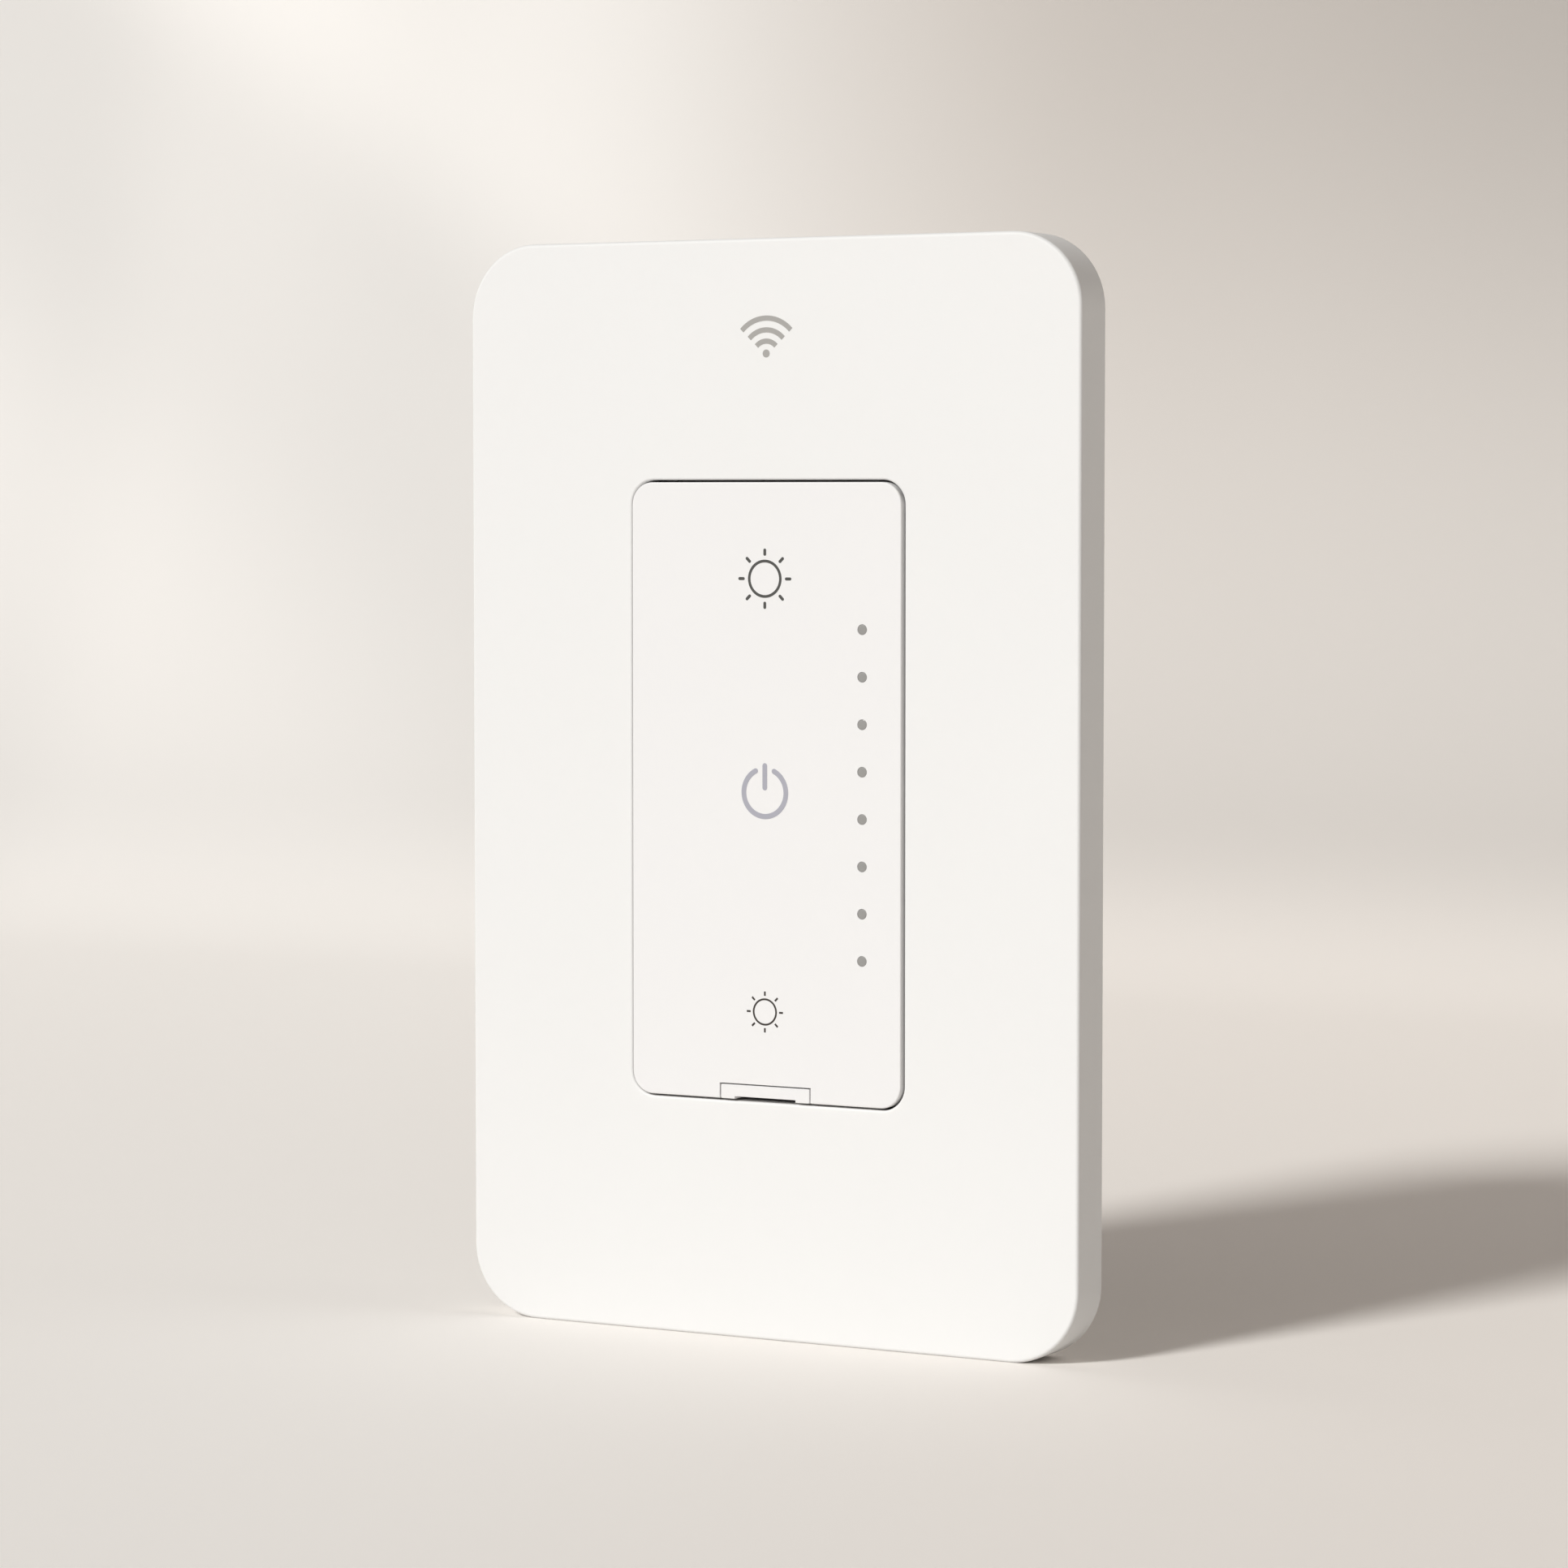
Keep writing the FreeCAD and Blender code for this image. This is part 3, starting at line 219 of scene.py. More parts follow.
# Each new piece with its slot, which says how it is painted at the end.
dressed = []


def dress(piece, body, slot, *nodes):
    """Puts a piece on its body, keeps its slot for painting, and hides the CAD nodes it stands
    for.
    """
    dressed.append((piece, slot))
    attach(piece, body)
    if nodes:
        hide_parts(*nodes)
    # Large flat faces keep flat shading beside narrow rounds.
    modifier = piece.modifiers.new("even_normals", "WEIGHTED_NORMAL")
    modifier.keep_sharp = True
    modifier.weight = face_weight
    print(piece.name, "faces:", len(piece.data.polygons))

# %% [markdown]
# ## Wall plate
# The plate is moulded in one piece: a shallow tray with a round-cornered opening, a collar
# behind the opening, a few ribs and the catches that hold it. A boolean of boxes would leave
# a ragged front, so the tray is one ring of outlines, in the order in which a finger would
# follow them: over the rim, across the front, through the opening and back inside.

# %% Wall plate
plate_low, plate_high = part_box("wall_plate")
panel_low, panel_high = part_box("front_panel")
sub_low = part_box("sub_plate")[0]
plate_width = plate_high.x - plate_low.x
plate_height = plate_high.z - plate_low.z
plate_front, plate_back = plate_low.y, plate_high.y
plate_corner, plate_edge, plate_back_edge = 8.0 * mm, 0.4 * mm, 0.25 * mm
plate_wall, rim_wall, collar_wall = 1.8 * mm, 1.6 * mm, 1.2 * mm
panel_gap = 0.25 * mm
opening_width = panel_high.x - panel_low.x + 2 * panel_gap
opening_height = panel_high.z - panel_low.z + 2 * panel_gap
opening_corner, opening_edge = 2.7 * mm, 0.25 * mm
rib_thickness = 1.0 * mm
catch_length, catch_depth = 12.0 * mm, 0.7 * mm
catch_front, catch_flat, catch_slope = -1.45 * mm, 0.4 * mm, 0.7 * mm


def plate_loop(inset, y):
    return rounded_loop(plate_width - 2 * inset, plate_height - 2 * inset, plate_corner - inset, y)


def opening_loop(outset, y):
    width, height = opening_width + 2 * outset, opening_height + 2 * outset
    return rounded_loop(width, height, opening_corner + outset, y)


def plate_outlines():
    collar_back = sub_low.y
    ceiling = plate_front + plate_wall
    loops = []
    for inset, drop in reversed(round_edge(plate_back_edge, steps=4)):
        loops.append(plate_loop(inset, plate_back - drop))
    for inset, drop in round_edge(plate_edge, steps=10):
        loops.append(plate_loop(inset, plate_front + drop))
    loops.append(plate_loop(plate_edge + hold, plate_front))
    loops.append(opening_loop(opening_edge + hold, plate_front))
    for outset, drop in reversed(round_edge(opening_edge, steps=5)):
        loops.append(opening_loop(outset, plate_front + drop))
    collar = ((0, collar_back), (collar_wall, collar_back), (collar_wall, ceiling))
    loops += [opening_loop(outset, y) for outset, y in collar]
    return loops + [plate_loop(rim_wall, y) for y in (ceiling, plate_back)]


print("plate:", round(plate_width / mm, 2), "x", round(plate_height / mm, 2), "mm")

# %% [markdown]
# ## Ribs and catches
# Short ribs stiffen the front, and six sloped catches hook behind the sub-plate's edge. They
# are joined to the tray afterwards, because in its outlines they would break its even skin.

# %% Ribs and catches


def plate_ribs(mesh):
    depth = (plate_front + plate_wall - hold, sub_low.y)
    half = rib_thickness / 2
    collar_x, collar_z = opening_width / 2 + collar_wall / 2, opening_height / 2 + collar_wall / 2
    rim_x, rim_z = plate_width / 2 - rim_wall / 2, plate_height / 2 - rim_wall / 2
    for side in (-1, 1):
        across = sorted((side * collar_x, side * rim_x))
        along = sorted((side * collar_z, side * rim_z))
        for z in both(opening_height / 4):
            box(mesh, across, depth, (z - half, z + half))
        for x in both(opening_width / 4):
            box(mesh, (x - half, x + half), depth, along)


def catch(mesh, side, reach, middle, turned):
    """A ridge inside the rim, square in front and sloped behind."""
    outline = [
        (reach + rim_wall / 2, catch_front),
        (reach - catch_depth, catch_front),
        (reach - catch_depth, catch_front + catch_flat),
        (reach, catch_front + catch_flat + catch_slope),
        (reach + rim_wall / 2, catch_front + catch_flat + catch_slope),
    ]
    ends = []
    for place in (middle - catch_length / 2, middle + catch_length / 2):
        points = [(place, y, side * r) if turned else (side * r, y, place) for r, y in outline]
        ends.append([Vector(point) for point in points])
    skin(mesh, ends)


def plate_catches(mesh):
    for side in (-1, 1):
        for z in both(plate_height / 4):
            catch(mesh, side, plate_width / 2 - rim_wall, z, False)
        catch(mesh, side, plate_height / 2 - rim_wall, 0, True)


wall_plate_mesh = bmesh.new()
skin(wall_plate_mesh, plate_outlines(), closed=True)
wall_plate = make_piece("wall_plate_cover", wall_plate_mesh)
combine(wall_plate, drawn("ribs", plate_ribs, plate_catches))
dress(wall_plate, "root", "plate_white", "wall_plate")

# %% [markdown]
# ## Press panel
# The panel is a thin cup with its open side to the wall, and its shell is a skin of outlines
# with barely broken edges, as the plate is. Inside are posts that push the keys, a step round
# the tab, thin ribs, and ears for the pivots: plain blocks, as only a bare panel shows them.

# %% Press panel
panel_width = panel_high.x - panel_low.x
panel_height = panel_high.z - panel_low.z
ink_thickness = 0.02 * mm
panel_front, panel_post_end = panel_low.y + ink_thickness, panel_high.y
panel_back = -2.45 * mm
panel_corner = opening_corner - panel_gap
panel_edge = 0.15 * mm
panel_wall, skirt_wall = 1.5 * mm, 1.3 * mm
tab_low, tab_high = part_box("air_break_tab")
tab_width, tab_gap = 10.9 * mm, 0.15 * mm
light_count, light_pitch, light_x = 8, 5.055 * mm, 11.8 * mm
light_radius, light_fit, light_sides = 0.55 * mm, 0.02 * mm, 40
key_post_width, key_post_z = 3.4 * mm, 26.0 * mm
light_places = [(index - (light_count - 1) / 2) * light_pitch for index in range(light_count)]
rib_height = 0.8 * mm
rib_x, rib_z = 5.05 * mm, 28.1 * mm
pivot_y = -3.6 * mm
pivot_bore = 0.85 * mm
ear_length, ear_half_height, ear_back = 1.25 * mm, 2.2 * mm, -2.7 * mm


def panel_loop(inset, y):
    radius = panel_corner - inset
    return rounded_loop(panel_width - 2 * inset, panel_height - 2 * inset, radius, y)


def panel_outlines():
    ceiling = panel_front + panel_wall
    steps = [(skirt_wall, ceiling), (skirt_wall, panel_back), (0, panel_back)]
    steps += [(inset, panel_front + drop) for inset, drop in round_edge(panel_edge, steps=6)]
    steps.append((panel_edge + hold, panel_front))
    return [panel_loop(inset, y) for inset, y in steps]


def circle(radius, y, x, z, sides=light_sides):
    turns = [2 * math.pi * index / sides for index in range(sides)]
    return [Vector((x + radius * math.cos(t), y, z + radius * math.sin(t))) for t in turns]


def lying_circle(radius, x, y, z, sides=light_sides):
    turns = [2 * math.pi * index / sides for index in range(sides)]
    return [Vector((x, y + radius * math.cos(t), z + radius * math.sin(t))) for t in turns]


def panel_inside(mesh):
    ceiling = panel_front + panel_wall - hold
    half = key_post_width / 2
    for z in both(key_post_z):
        box(mesh, both(half), (ceiling, panel_post_end), (z - half, z + half))
    step_z = (panel_low.z + hold, notch_top + skirt_wall)
    box(mesh, both(notch_side + skirt_wall), (ceiling, panel_back), step_z)
    depth = (ceiling, panel_front + panel_wall + rib_height)
    rim_x, rim_z = (panel_width - skirt_wall) / 2, (panel_height - skirt_wall) / 2
    half = rib_height / 2
    for z in both(rib_z):
        box(mesh, both(rim_x), depth, (z - half, z + half))
    for x in both(rib_x):
        box(mesh, (x - half, x + half), depth, (notch_top, rim_z))
    inner_x = panel_width / 2 - skirt_wall
    for side in (-1, 1):
        ear_x = sorted((side * (inner_x - ear_length), side * (inner_x + hold)))
        box(mesh, ear_x, (ceiling, ear_back), both(ear_half_height))


print("panel:", round(panel_width / mm, 2), "x", round(panel_height / mm, 2), "mm")

# %% [markdown]
# ## The panel's openings
# The tab's notch, the two pivot bores and the eight round windows are cut in one boolean,
# after the inside is joined, so that every cut meets whole walls.

# %% The panel's openings
notch_side = tab_width / 2 + tab_gap
notch_top = tab_high.z + tab_gap
panel_mesh = bmesh.new()
skin(panel_mesh, panel_outlines())
front_panel = make_piece("press_panel", panel_mesh)
combine(front_panel, drawn("inside", panel_inside))
holes = bmesh.new()
reach = 1.0 * mm
box(holes, both(notch_side), (panel_front - reach, reach), (panel_low.z - reach, notch_top))
bore_x = panel_width / 2 - skirt_wall
skin(holes, [lying_circle(pivot_bore, x, pivot_y, 0) for x in both(bore_x)])
for z in light_places:
    hole = light_radius + light_fit
    inner = panel_front + panel_wall + hold
    skin(holes, [circle(hole, y, light_x, z) for y in (panel_front - reach, inner)])
combine(front_panel, make_piece("holes", holes), "DIFFERENCE")
dress(front_panel, "panel", "panel_white", "front_panel")

# %% [markdown]
# ## Level lights
# The lights are the ends of one clear strip behind the panel. Unlit they look smoke grey.
# Each end has a soft round at its rim, so it catches a thin line of light.

# %% Level lights
guide_low, guide_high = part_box("light_guide")
lens_edge = 0.06 * mm


def lens_outlines(z):
    root = guide_high.y - (guide_high.y - panel_front - panel_wall) / 2
    loops = [circle(light_radius, root, light_x, z)]
    for inset, drop in round_edge(lens_edge, steps=4):
        loops.append(circle(light_radius - inset, panel_front + drop, light_x, z))
    return loops


guide_y = (panel_front + panel_wall, guide_high.y)
guide_z = (guide_low.z, guide_high.z)
light_guide = block("level_lights", (guide_low.x, guide_high.x), guide_y, guide_z)
lens_mesh = bmesh.new()
for z in light_places:
    skin(lens_mesh, lens_outlines(z))
combine(light_guide, make_piece("lenses", lens_mesh))
dress(light_guide, "panel", "light_window", "light_guide")

# %% [markdown]
# ## Air-break tab
# A small tab at the foot of the panel pulls forward to cut the power. A cut under its front
# edge takes a fingernail, and from the front that cut is the darkest line on the switch.

# %% Air-break tab
tab_edge, tab_head_depth = 0.08 * mm, 3.5 * mm
tab_front = tab_low.y + ink_thickness
tab_head_back = tab_front + tab_head_depth
tab_stem_width, tab_stem_height = 7.0 * mm, 1.3 * mm
tab_barb_reach, tab_barb_front, tab_barb_length = 1.1 * mm, 4.7 * mm, 1.0 * mm
nail_width, nail_height, nail_depth = 7.5 * mm, 0.3 * mm, 2.0 * mm
tab_corner_steps = 4
tab_middle = (tab_low.z + tab_high.z) / 2
tab_height = tab_high.z - tab_low.z


def shifted(loop, z):
    return [point + Vector((0, 0, z)) for point in loop]


tab_mesh = bmesh.new()
tab_loops = [rounded_loop(tab_width, tab_height, 2 * tab_edge, tab_head_back, tab_corner_steps)]
for inset, drop in round_edge(tab_edge, steps=4):
    size = tab_width - 2 * inset, tab_height - 2 * inset, 2 * tab_edge - inset
    tab_loops.append(rounded_loop(*size, tab_front + drop, tab_corner_steps))
skin(tab_mesh, [shifted(loop, tab_middle) for loop in tab_loops])
air_break_tab = make_piece("pull_tab", tab_mesh)
stem_x, stem_y = both(tab_stem_width / 2), (tab_head_back - hold, tab_high.y)
stem_z = (tab_middle - tab_stem_height / 2, tab_middle + tab_stem_height / 2)
combine(air_break_tab, block("stem", stem_x, stem_y, stem_z))
barb_x = both(tab_stem_width / 2 + tab_barb_reach)
barb_y = (tab_barb_front, tab_barb_front + tab_barb_length)
combine(air_break_tab, block("barb", barb_x, barb_y, stem_z))
nail_y = (tab_front - reach, tab_front + nail_depth)
nail_z = (tab_low.z - reach, tab_low.z + nail_height)
combine(air_break_tab, block("nail", both(nail_width / 2), nail_y, nail_z), "DIFFERENCE")
dress(air_break_tab, "tab", "panel_white", "air_break_tab")

# %% [markdown]
# ## Rear housing
# The housing is a deep moulded cup whose sides lean in a little, so that it leaves its mould.
# Seen from behind it is the largest piece, and its rounded rear edge, wire funnels and
# round-ended vents are what a plain block would lack. It is one skin of outlines again, and
# the openings are cut through it afterwards.

# %% Rear housing
housing_low, housing_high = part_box("rear_housing")
housing_wall, housing_corner = 1.5 * mm, 3.0 * mm
housing_lean, housing_edge = 0.7 * mm, 0.8 * mm
housing_floor = housing_high.y - housing_wall
terminal_x, terminal_y, terminal_z = 16.0 * mm, 20.05 * mm, 22.0 * mm
side_bore, side_bore_start = 3.1 * mm, 19.0 * mm
entry_width, entry_mouth, funnel_depth = 3.4 * mm, 4.6 * mm, 0.6 * mm
vent_count, vent_pitch = 5, 3.0 * mm
vent_length, vent_width = 14.0 * mm, 1.2 * mm
screw_x, screw_z = 18.2 * mm, 31.7 * mm
screw_bore, screw_bore_end = 1.1 * mm, 14.0 * mm
boss_half, boss_reach, boss_lean = 2.6 * mm, 2.4 * mm, 0.6 * mm
ledge_x, ledge_z = (18.6 * mm, 20.4 * mm), 15.5 * mm
ledge_height, ledge_front = 3.0 * mm, 15.6 * mm


def housing_loop(inset, corner, y):
    width = housing_high.x - housing_low.x - 2 * inset
    height = housing_high.z - housing_low.z - 2 * inset
    return rounded_loop(width, height, corner, y)


def housing_outlines():
    """From the inside of the back, out round the open front, to the back face."""
    inner_corner = housing_corner - housing_wall
    loops = [
        housing_loop(housing_wall + housing_lean, inner_corner - housing_lean, housing_floor),
        housing_loop(housing_wall, inner_corner, housing_low.y),
        housing_loop(0, housing_corner, housing_low.y),
    ]
    for inset, drop in round_edge(housing_edge, steps=6):
        lean = housing_lean + inset
        loops.append(housing_loop(lean, housing_corner - lean, housing_high.y - drop))
    return loops


def housing_inside(mesh):
    """Corner bosses for the screws, which lean with the walls, and ledges for the rear board."""
    for side in (-1, 1):
        for level in (-1, 1):
            loops = []
            for y, lean in ((housing_low.y, 0), (housing_floor + hold, boss_lean)):
                x = (screw_x - boss_half, screw_x + boss_reach - lean)
                z = (screw_z - boss_half, screw_z + boss_reach - lean)
                loops.append([Vector((side * a, y, level * b)) for a, b in corners(x, z)])
            skin(mesh, loops)
            across = sorted(side * x for x in ledge_x)
            middle = level * ledge_z
            up = (middle - ledge_height / 2, middle + ledge_height / 2)
            box(mesh, across, (ledge_front, housing_floor + hold), up)


print("housing outlines:", len(housing_outlines()))

# %% [markdown]
# ## The housing's openings
# Wires go in through four funnels, the terminal screws are turned through round side bores,
# and vents let the heat out. One boolean cuts them all, which keeps the cup's outlines simple.

# %% The housing's openings


def slot_loop(length, width, y, z, steps=8):
    """A slot with round ends, along X."""
    points = []
    for side in (1, -1):
        for step in range(steps + 1):
            turn = math.radians(180 * step / steps - 90)
            x = length / 2 - width / 2 + width / 2 * math.cos(turn)
            points.append(Vector((side * x, y, z + side * width / 2 * math.sin(turn))))
    return points


def square_loop(width, y, x, z):
    sides = both(width / 2)
    return [Vector((x + a, y, z + b)) for a, b in corners(sides, sides)]


def housing_openings(mesh):
    back, through = housing_high.y, housing_high.y + reach
    before = housing_floor - hold
    for index in range(vent_count):
        z = (index - (vent_count - 1) / 2) * vent_pitch
        skin(mesh, [slot_loop(vent_length, vent_width, y, z) for y in (before, through)])
    for x in both(terminal_x):
        for z in both(terminal_z):
            narrow = back - funnel_depth
            loops = [square_loop(entry_width, y, x, z) for y in (before, narrow)]
            loops += [square_loop(entry_mouth, y, x, z) for y in (back, through)]
            skin(mesh, loops)
            side = math.copysign(1, x)
            places = (side * side_bore_start, side * (housing_high.x + reach))
            skin(mesh, [lying_circle(side_bore, place, terminal_y, z) for place in places])
    for x, z in ((screw_x, -screw_z), (-screw_x, screw_z)):
        places = (housing_low.y - reach, screw_bore_end)
        skin(mesh, [circle(screw_bore, y, x, z) for y in places])


housing_mesh = bmesh.new()
skin(housing_mesh, housing_outlines())
rear_housing = make_piece("rear_cup", housing_mesh)
combine(rear_housing, drawn("bosses", housing_inside))
combine(rear_housing, drawn("openings", housing_openings), "DIFFERENCE")
dress(rear_housing, "root", "housing_dark", "rear_housing")

# %% [markdown]
# ## Threaded screws
# Two long screws reach back into the wall box and two short ones hold the sub-plate. Seen from
# behind, their threads show. Each shank is a stack of rings whose radius follows the thread's
# own wave, a little later at each step round, so the wave winds along the shank as a helix.
# Its head is skinned in one with it, so no seam shows, and the slot is cut afterwards.

# %% Threaded screws
box_screw_low, box_screw_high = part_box("box_screws")
plate_screw_low, plate_screw_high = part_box("plate_screws")
yoke_front = -1.5 * mm
box_screw_z, plate_screw_z = 41.65 * mm, 48.4 * mm
shank_radius, thread_pitch, thread_depth = 1.75 * mm, 0.794 * mm, 0.4 * mm
neck_radius, neck_end = 1.45 * mm, -0.1 * mm
box_head_radius, plate_head_radius = 3.4 * mm, 3.3 * mm
drive_width, drive_depth = 0.9 * mm, 0.7 * mm
thread_sides, rings_per_turn = 36, 12
crest_share, flank_share = 0.15, 0.7
head_round, screw_smooth_limit = 0.5 * mm, 40


def thread_wave(phase):
    """0 on a narrow flat crest, 1 in a narrow flat root, and straight slopes between."""
    distance = abs(phase % 1 - 0.5) * 2
    return min(max((distance - crest_share) / flank_share, 0), 1)


def thread_ring(y, start, end, z):
    """One ring of the shank; the thread fades out at both ends and the tip is narrower."""
    fade = min((y - start) / thread_pitch, (end - y) / thread_pitch / 2, 1)
    tip = thread_depth * max(0, 1 - (end - y) / thread_pitch)
    points = []
    for side in range(thread_sides):
        turn = side / thread_sides
        depth = thread_depth * thread_wave((y - start) / thread_pitch - turn) * fade
        radius = shank_radius - max(depth, tip)
        angle = 2 * math.pi * turn
        points.append(Vector((radius * math.cos(angle), y, z + radius * math.sin(angle))))
    return points


def threaded_shank(start, end, z):
    count = round((end - start) / thread_pitch * rings_per_turn)
    places = [start + (end - start) * index / count for index in range(count + 1)]
    return [thread_ring(place, start, end, z) for place in places]


def screw_head(radius, front, back, z):
    """From its slot side back to the shank."""
    edge = min(head_round, (back - front) / 2)
    rim = [(radius - inset, front + drop) for inset, drop in reversed(round_edge(edge, steps=5))]
    return [circle(r, y, 0, z, thread_sides) for r, y in rim + [(radius, back)]]


def make_screw(name, head_radius, head_front, head_back, neck, end, z):
    mesh = bmesh.new()
    loops = screw_head(head_radius, head_front, head_back, z)
    start = head_back
    if neck:
        loops += [circle(neck_radius, y, 0, z, thread_sides) for y in (head_back, neck_end)]
        start = neck_end
    skin(mesh, loops + threaded_shank(start, end, z))
    screw = make_piece(name, mesh, screw_smooth_limit)
    depth = (head_front - reach, head_front + drive_depth)
    height = (z - drive_width / 2, z + drive_width / 2)
    slot = block("slot", both(head_radius + reach), depth, height)
    combine(screw, slot, "DIFFERENCE", screw_smooth_limit)
    return screw


box_head = (box_head_radius, box_screw_low.y, yoke_front)
plate_head = (plate_head_radius, plate_screw_low.y, sub_low.y)
for level, place in (("lower", -1), ("upper", 1)):
    end, z = box_screw_high.y, place * box_screw_z
    screw = make_screw("box_screw_" + level, *box_head, True, end, z)
    dress(screw, "root", "plated_steel", "box_screws")
    end, z = plate_screw_high.y, place * plate_screw_z
    screw = make_screw("plate_screw_" + level, *plate_head, False, end, z)
    dress(screw, "root", "plated_steel", "plate_screws")

# %% [markdown]
# ## Printed signs
# The signs are printed on, so they are ink a few hundredths of a millimetre thick. Each is a
# ribbon: a path with a width, which tapers to nothing where the stroke has a round end.

# %% Printed signs
ring_steps, ray_count, tip_share = 96, 8, 0.02


def ribbon(mesh, path, widths, front, closed=False):
    """A flat stroke along points in X and Z, with half its width given at each point."""
    count = len(path)
    rows = []
    for index, (point, half) in enumerate(zip(path, widths)):
        before = path[(index - 1) % count] if closed or index else path[index]
        after = path[(index + 1) % count] if closed or index < count - 1 else path[index]
        along = (Vector(after) - Vector(before)).normalized()
        across = Vector((-along.y, along.x)) * half
        left, right = Vector(point) + across, Vector(point) - across
        outline = [(left, 0), (right, 0), (right, ink_thickness), (left, ink_thickness)]
        rows.append([Vector((p.x, front - lift, p.y)) for p, lift in outline])
    skin(mesh, rows, closed)


def arc_path(x, z, radius, start, end, steps):
    turns = [math.radians(start + (end - start) * step / steps) for step in range(steps + 1)]
    return [(x + radius * math.cos(turn), z + radius * math.sin(turn)) for turn in turns]


def ring(mesh, x, z, radius, stroke, front):
    path = arc_path(x, z, radius, 0, 360, ring_steps)[:-1]
    ribbon(mesh, path, [stroke / 2] * len(path), front, closed=True)


def round_ends(length, half, steps=6):
    """Distances along a stroke and half widths there, with a half circle at each end."""
    turns = [math.radians(90 * step / steps) for step in range(steps + 1)]
    start = [(half * (1 - math.cos(t)), half * max(math.sin(t), tip_share)) for t in turns]
    end = [(length - distance, width) for distance, width in reversed(start)]
    return start + end


def bar(mesh, start, end, stroke, front, rounded=True):
    """A straight stroke; round ends reach as far as the points given."""
    start, end = Vector(start), Vector(end)
    length = (end - start).length
    if rounded:
        stations = round_ends(length, stroke / 2)
    else:
        stations = [(0, stroke / 2), (length, stroke / 2)]
    direction = (end - start) / length
    path = [tuple(start + direction * distance) for distance, width in stations]
    ribbon(mesh, path, [width for distance, width in stations], front)


def rays(mesh, z, near, far, stroke, front, rounded):
    for index in range(ray_count):
        turn = math.radians(360 / ray_count * index)
        way = Vector((math.cos(turn), math.sin(turn)))
        centre = Vector((0, z))
        bar(mesh, centre + way * near, centre + way * far, stroke, front, rounded)


print("ink:", round(ink_thickness / mm, 3), "mm thick")

# %% [markdown]
# ## Two suns
# The large sun is for brighter and the small one for dimmer. One helper makes both. The small
# one's rays have square ends, because at that size the print shows no rounds.

# %% Two suns


def sun_sign(name, z, radius, stroke, near, far, ray_stroke, rounded):
    mesh = bmesh.new()
    ring(mesh, 0, z, radius, stroke, panel_front)
    rays(mesh, z, near, far, ray_stroke, panel_front, rounded)
    dress(make_piece(name, mesh), "panel", "panel_white")


bright_ring = {"z": 23.0 * mm, "radius": 1.9 * mm, "stroke": 0.30 * mm}
bright_rays = {"near": 2.46 * mm, "far": 3.24 * mm, "ray_stroke": 0.33 * mm, "rounded": True}
sun_sign("sign_brighter", **bright_ring, **bright_rays)
dim_ring = {"z": -23.7 * mm, "radius": 1.375 * mm, "stroke": 0.20 * mm}
dim_rays = {"near": 1.75 * mm, "far": 2.22 * mm, "ray_stroke": 0.21 * mm, "rounded": False}
sun_sign("sign_dimmer", **dim_ring, **dim_rays)

# %% [markdown]
# ## Power and radio-wave signs
# The power sign is an open ring with a bar in its gap: one ribbon whose widths round its ends,
# with steps between that keep its curve smooth. The radio-wave sign has three ribbons of even
# width over a dot, which is a short ribbon that swells and closes.

# %% Power and radio-wave signs
power_radius, power_stroke, power_gap = 2.575 * mm, 0.57 * mm, 26
power_bar_low, power_bar_high = 0.25 * mm, 3.18 * mm
power_steps = 72

power_length = math.radians(360 - 2 * power_gap) * power_radius
power_stations = round_ends(power_length + power_stroke, power_stroke / 2)
half_way = len(power_stations) // 2
arc_start, arc_end = power_stations[half_way - 1][0], power_stations[half_way][0]
power_stations[half_way:half_way] = [
    (arc_start + (arc_end - arc_start) * step / power_steps, power_stroke / 2)
    for step in range(1, power_steps)
]
power_start = math.radians(90 + power_gap) - power_stroke / 2 / power_radius
power_turns = [power_start + distance / power_radius for distance, width in power_stations]
power_path = [(power_radius * math.cos(t), power_radius * math.sin(t)) for t in power_turns]
power_mesh = bmesh.new()
ribbon(power_mesh, power_path, [width for distance, width in power_stations], panel_front)
bar(power_mesh, (0, power_bar_low), (0, power_bar_high), power_stroke, panel_front)
dress(make_piece("sign_power", power_mesh), "panel", "panel_white")

signal_z, signal_radii = 46.8 * mm, (4.08 * mm, 2.82 * mm, 1.62 * mm)
signal_stroke, signal_spread, signal_steps = 0.56 * mm, 47, 32
dot_radius, dot_z, dot_fullness = 0.425 * mm, 47.1 * mm, 0.9
dot_first, dot_past_last, dot_step = 4, 181, 8

signal_mesh = bmesh.new()
for radius in signal_radii:
    path = arc_path(0, signal_z, radius, 90 - signal_spread, 90 + signal_spread, signal_steps)
    ribbon(signal_mesh, path, [signal_stroke / 2] * len(path), plate_front)
dot_turns = [math.radians(turn) for turn in range(dot_first, dot_past_last, dot_step)]
dot_path = [(0, dot_z + dot_radius * math.cos(turn)) for turn in dot_turns]
dot_widths = [dot_radius * math.sin(turn) ** dot_fullness for turn in dot_turns]
ribbon(signal_mesh, dot_path, dot_widths, plate_front)
dress(make_piece("sign_signal", signal_mesh), "root", "plate_white")

# %% [markdown]
# ## Shared finishes
# Moulded plastic has a very fine spark grain and small changes of tone, and metal has brush
# lines or plating mottle. Each effect is a node group, so that it is written once and every
# material sets its own values. First come helpers that keep the wiring short.

# %% Shared finishes


def feed(socket, value):
    """Links a socket into another, or sets it to plain numbers."""
    if isinstance(value, bpy.types.NodeSocket):
        socket.id_data.links.new(value, socket)
    else:
        socket.default_value = value


def add_node(tree, kind, inputs, **settings):
    """Adds a node, feeds its inputs, and gives back its outputs."""
    node = tree.nodes.new(kind)
    for name, value in settings.items():
        setattr(node, name, value)
    for label, value in inputs.items():
        feed(node.inputs[label], value)
    return node.outputs


